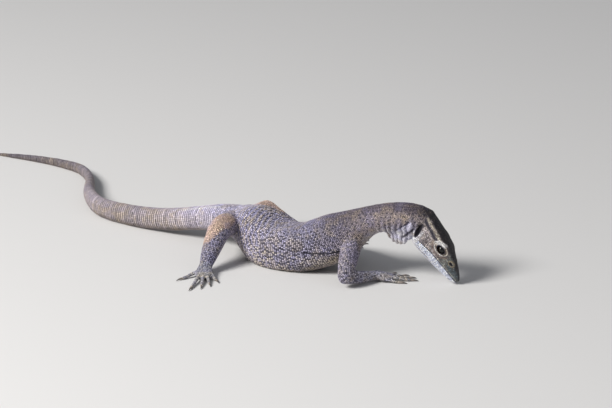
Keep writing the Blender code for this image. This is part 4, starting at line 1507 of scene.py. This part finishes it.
# %% A material for skin and scales
def skin_material(name, rough_low, rough_high, grain, bump_depth, sheen):
    """Skin whose colour is the tint, broken by grain of this many lumps a metre."""
    material, tree, shader = new_material(name)
    noise = add_noise(tree, {"Scale": grain, "Detail": 4})
    spread = {"From Min": 0.3, "From Max": 0.7, "To Min": 0.80, "To Max": 1.16}
    shade = add_node(tree, "ShaderNodeMapRange", spread, noise, "Value")
    multiply(tree, shader, read_attribute(tree, "tint").outputs["Color"], shade.outputs["Result"])
    rough = add_node(tree, "ShaderNodeMapRange", {"To Min": rough_low, "To Max": rough_high}, noise, "Value")
    tree.links.new(rough.outputs["Result"], shader.inputs["Roughness"])
    relief = add_node(tree, "ShaderNodeBump", {"Strength": 0.5, "Distance": bump_depth * MM}, noise, "Height")
    tree.links.new(relief.outputs["Normal"], shader.inputs["Normal"])
    shader.inputs["Specular IOR Level"].default_value = sheen
    return material


# The least and the most roughness, the grain, the depth of its relief in mm, and the shine.
FINISHES = {name: skin_material(f"{name} scales", *numbers) for name, numbers in (
    ("back", (0.42, 0.66, 2200, 0.06, 0.42)),
    ("tail", (0.46, 0.70, 2200, 0.06, 0.38)),
    ("limb", (0.44, 0.68, 2200, 0.06, 0.40)),
    ("head", (0.34, 0.58, 2600, 0.05, 0.50)),
    ("jaw", (0.36, 0.60, 2600, 0.05, 0.48)),
)}
SHARED_FINISHES = {"belly": "back", "neck": "back", "paw": "limb", "digit": "limb"}
for name, piece in coats.items():
    place = name.removesuffix("_scales")
    piece.data.materials.append(FINISHES[SHARED_FINISHES.get(place, place)])
skin.data.materials.clear()
skin.data.materials.append(skin_material("bare skin", 0.60, 0.85, 1400, 0.12, 0.30))
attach(skin, "root")
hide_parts(*FLESH)
print("finishes:", len(FINISHES) + 1)

# %% [markdown]
# ## Eyes
#
# The eye is a dark ball behind almond lids, with a brown iris too dark to tell from the
# pupil except where light falls into it, and a clear bulging front that takes one sharp
# highlight. The ball starts as a sphere with its pole looking out of the head; the rings
# round the pole are pushed out for the clear front.

# %% Eyeballs
EYE_RADIUS = 5.9
# From the pupil out: how far from the pole, as a share of a quarter turn, and the colour.
IRIS_STOPS = (
    (0.0, (0.001, 0.001, 0.001)), (0.38, (0.001, 0.001, 0.001)), (0.41, (0.013, 0.007, 0.004)),
    (0.60, (0.008, 0.004, 0.003)), (0.68, (0.003, 0.002, 0.002)), (1.0, (0.02, 0.016, 0.014)),
)
FRONT_BULGE, RIM_DIP = 0.045, 0.015


def eye_material():
    """A dark iris with fine rays round a black pupil, under a clear coat."""
    material, tree, shader = new_material("eyeball")
    reach = read_attribute(tree, "reach")
    ramp = tree.nodes.new("ShaderNodeValToRGB")
    while len(ramp.color_ramp.elements) < len(IRIS_STOPS):
        ramp.color_ramp.elements.new(0.5)
    for element, (position, colour) in zip(ramp.color_ramp.elements, IRIS_STOPS):
        element.position = position
        element.color = (*colour, 1)
    tree.links.new(reach.outputs["Fac"], ramp.inputs["Fac"])
    noise = add_noise(tree, {"Scale": 2600})
    rays = add_node(tree, "ShaderNodeMapRange", {"To Min": 0.6, "To Max": 1.4}, noise, "Value")
    multiply(tree, shader, ramp.outputs["Color"], rays.outputs["Result"])
    shine = {"Roughness": 0.25, "Specular IOR Level": 0.15, "Coat Weight": 0.55, "Coat Roughness": 0.04}
    set_values(shader, shine)
    return material


eye_finish = eye_material()
for side, name in ((-1, "right_eye"), (1, "left_eye")):
    middle = node_middle(name)
    outward = Vector(head_left * side * 0.93 + head_crown * 0.34 - head_back * 0.12).normalized()
    bpy.ops.object.select_all(action="DESELECT")
    bpy.ops.mesh.primitive_uv_sphere_add(segments=48, ring_count=32, radius=1, location=(0, 0, 0))
    eyeball = bpy.context.view_layer.objects.active
    eyeball.name = eyeball.data.name = f"{name}ball"
    places = get_points(eyeball.data) * MM
    reach = np.arccos(np.clip(places[:, 2], -1, 1)) / math.pi
    swell = 1 + FRONT_BULGE * (1 - fade(reach, 0.14, 0.27)) - RIM_DIP * bump(reach, 0.29, 0.03)
    places *= (EYE_RADIUS / 1.05) * swell[:, None]
    turned = places.astype(np.float32) @ np.array(outward.to_track_quat("Z", "Y").to_matrix()).T
    layer = eyeball.data.attributes.new("reach", "FLOAT", "POINT")
    layer.data.foreach_set("value", np.clip(reach / 0.5, 0, 1).astype(np.float32))
    set_points(eyeball.data, turned + middle)
    bpy.ops.object.shade_smooth()
    eyeball.data.materials.append(eye_finish)
    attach(eyeball, "root")
    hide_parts(name)
print("two eyeballs of radius", EYE_RADIUS, "mm")

# %% [markdown]
# ## Claws
#
# A claw is a curved cone of horn, dark at the tip and paler at the root, polished by
# walking, with fine grooves along it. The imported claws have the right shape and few
# faces. Subdivision rounds them, and since it also thins them, they are swollen first.

# %% Rounded claws
CLAWS = [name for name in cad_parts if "claw" in name]
CLAW_SWELL = 0.10
claws = join_copies(CLAWS, "claws", CLAW_SWELL)
rounding = claws.modifiers.new("rounding", "SUBSURF")
rounding.levels = rounding.render_levels = 2
bpy.ops.object.modifier_apply(modifier=rounding.name)
bpy.ops.object.shade_smooth()
print(len(CLAWS), "claws,", len(claws.data.polygons), "faces")

# %% Each claw's root reaches into its digit
ROOT_REACH = 1.3
claw_points = get_points(claws.data)
claw_middles = np.array([node_middle(name) for name in CLAWS])
nearest_claw = np.argmin(np.linalg.norm(claw_points[:, None] - claw_middles[None], axis=2), axis=1)
claw_share = np.zeros(len(claw_points))
for number, name in enumerate(CLAWS):
    chosen = nearest_claw == number
    side, paw = name.split("_")[:2]
    wrist = limb_lines[f"{side}_{'arm' if paw == 'hand' else 'leg'}"].spots[-1]
    reach = np.linalg.norm(claw_points[chosen] - wrist, axis=1)
    share = (reach - reach.min()) / max(float(np.ptp(reach)), 1e-6)
    claw_share[chosen] = share
    root_place = claw_points[chosen][share < 0.15].mean(axis=0)
    tip_place = claw_points[chosen][share > 0.9].mean(axis=0)
    way = (root_place - tip_place) / np.linalg.norm(root_place - tip_place)
    claw_points[chosen] += (fade(share, 0.25, 0.0) * ROOT_REACH)[:, None] * way
set_points(claws.data, claw_points)
print("each root reaches", ROOT_REACH, "mm further in")

# %% The claws' colour
CLAW_ROOT, CLAW_TIP = rgb(142, 132, 124), rgb(46, 39, 38)
give_tint(claws.data, mix(CLAW_ROOT, CLAW_TIP, fade(claw_share, 0.15, 0.85)))
claws.data.materials.clear()
claws.data.materials.append(skin_material("claw horn", 0.22, 0.42, 3200, 0.03, 0.5))
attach(claws, "root")
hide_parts(*CLAWS)
print("the claws are", round(float(np.ptp(claw_points[:, 2])), 1), "mm apart in height")

# %% [markdown]
# ## Floor and light
#
# A plain pale floor, and the light of a bright hazy sky: one large soft lamp high at the
# camera's left, a weaker one at its right, and an even glow all round.

# %% The floor
FLOOR_SIZE = 14
bpy.ops.object.select_all(action="DESELECT")
bpy.ops.mesh.primitive_plane_add(size=FLOOR_SIZE, location=(0, 0, 0))
floor = bpy.context.view_layer.objects.active
floor.name = "floor"
floor_finish, _, floor_shader = new_material("floor")
set_values(floor_shader, {"Base Color": (0.66, 0.65, 0.64, 1), "Roughness": 0.85})
floor.data.materials.append(floor_finish)
print("a floor", FLOOR_SIZE, "metres wide")

# %% The lamps and the glow
camera_right = np.array((0.788, 0.616, 0.0))
camera_near = np.array((0.616, -0.788, 0.0))
LOOK_AT = (0, 0, 0.04)
LAMP_SIZE, SKY_WATTS, SIDE_WATTS, GLOW = 1.4, 222, 3, 0.26


def add_lamp(name, place, watts, colour):
    """A square soft lamp that looks at the animal's middle."""
    lamp = bpy.data.lights.new(name, "AREA")
    lamp.shape = "SQUARE"
    lamp.size = LAMP_SIZE
    lamp.energy = watts
    lamp.color = colour
    holder = add_object(name, lamp)
    holder.location = Vector(place)
    holder.rotation_euler = Vector(LOOK_AT - np.array(place)).to_track_quat("-Z", "Y").to_euler()


add_lamp("sky lamp", -2.6 * camera_right + 1.7 * camera_near + 2.6 * UP, SKY_WATTS, (1.0, 0.99, 0.97))
add_lamp("side lamp", 1.6 * camera_right + 1.4 * camera_near + 1.0 * UP, SIDE_WATTS, (0.95, 0.97, 1.0))
world = bpy.data.worlds.new("glow")
world.use_nodes = True
glow = world.node_tree.nodes["Background"]
glow.inputs["Color"].default_value = (0.90, 0.93, 1.0, 1)
glow.inputs["Strength"].default_value = GLOW
bpy.context.scene.world = world
bpy.context.scene.view_settings.view_transform = "Standard"

# %% The end
bpy.context.view_layer.update()
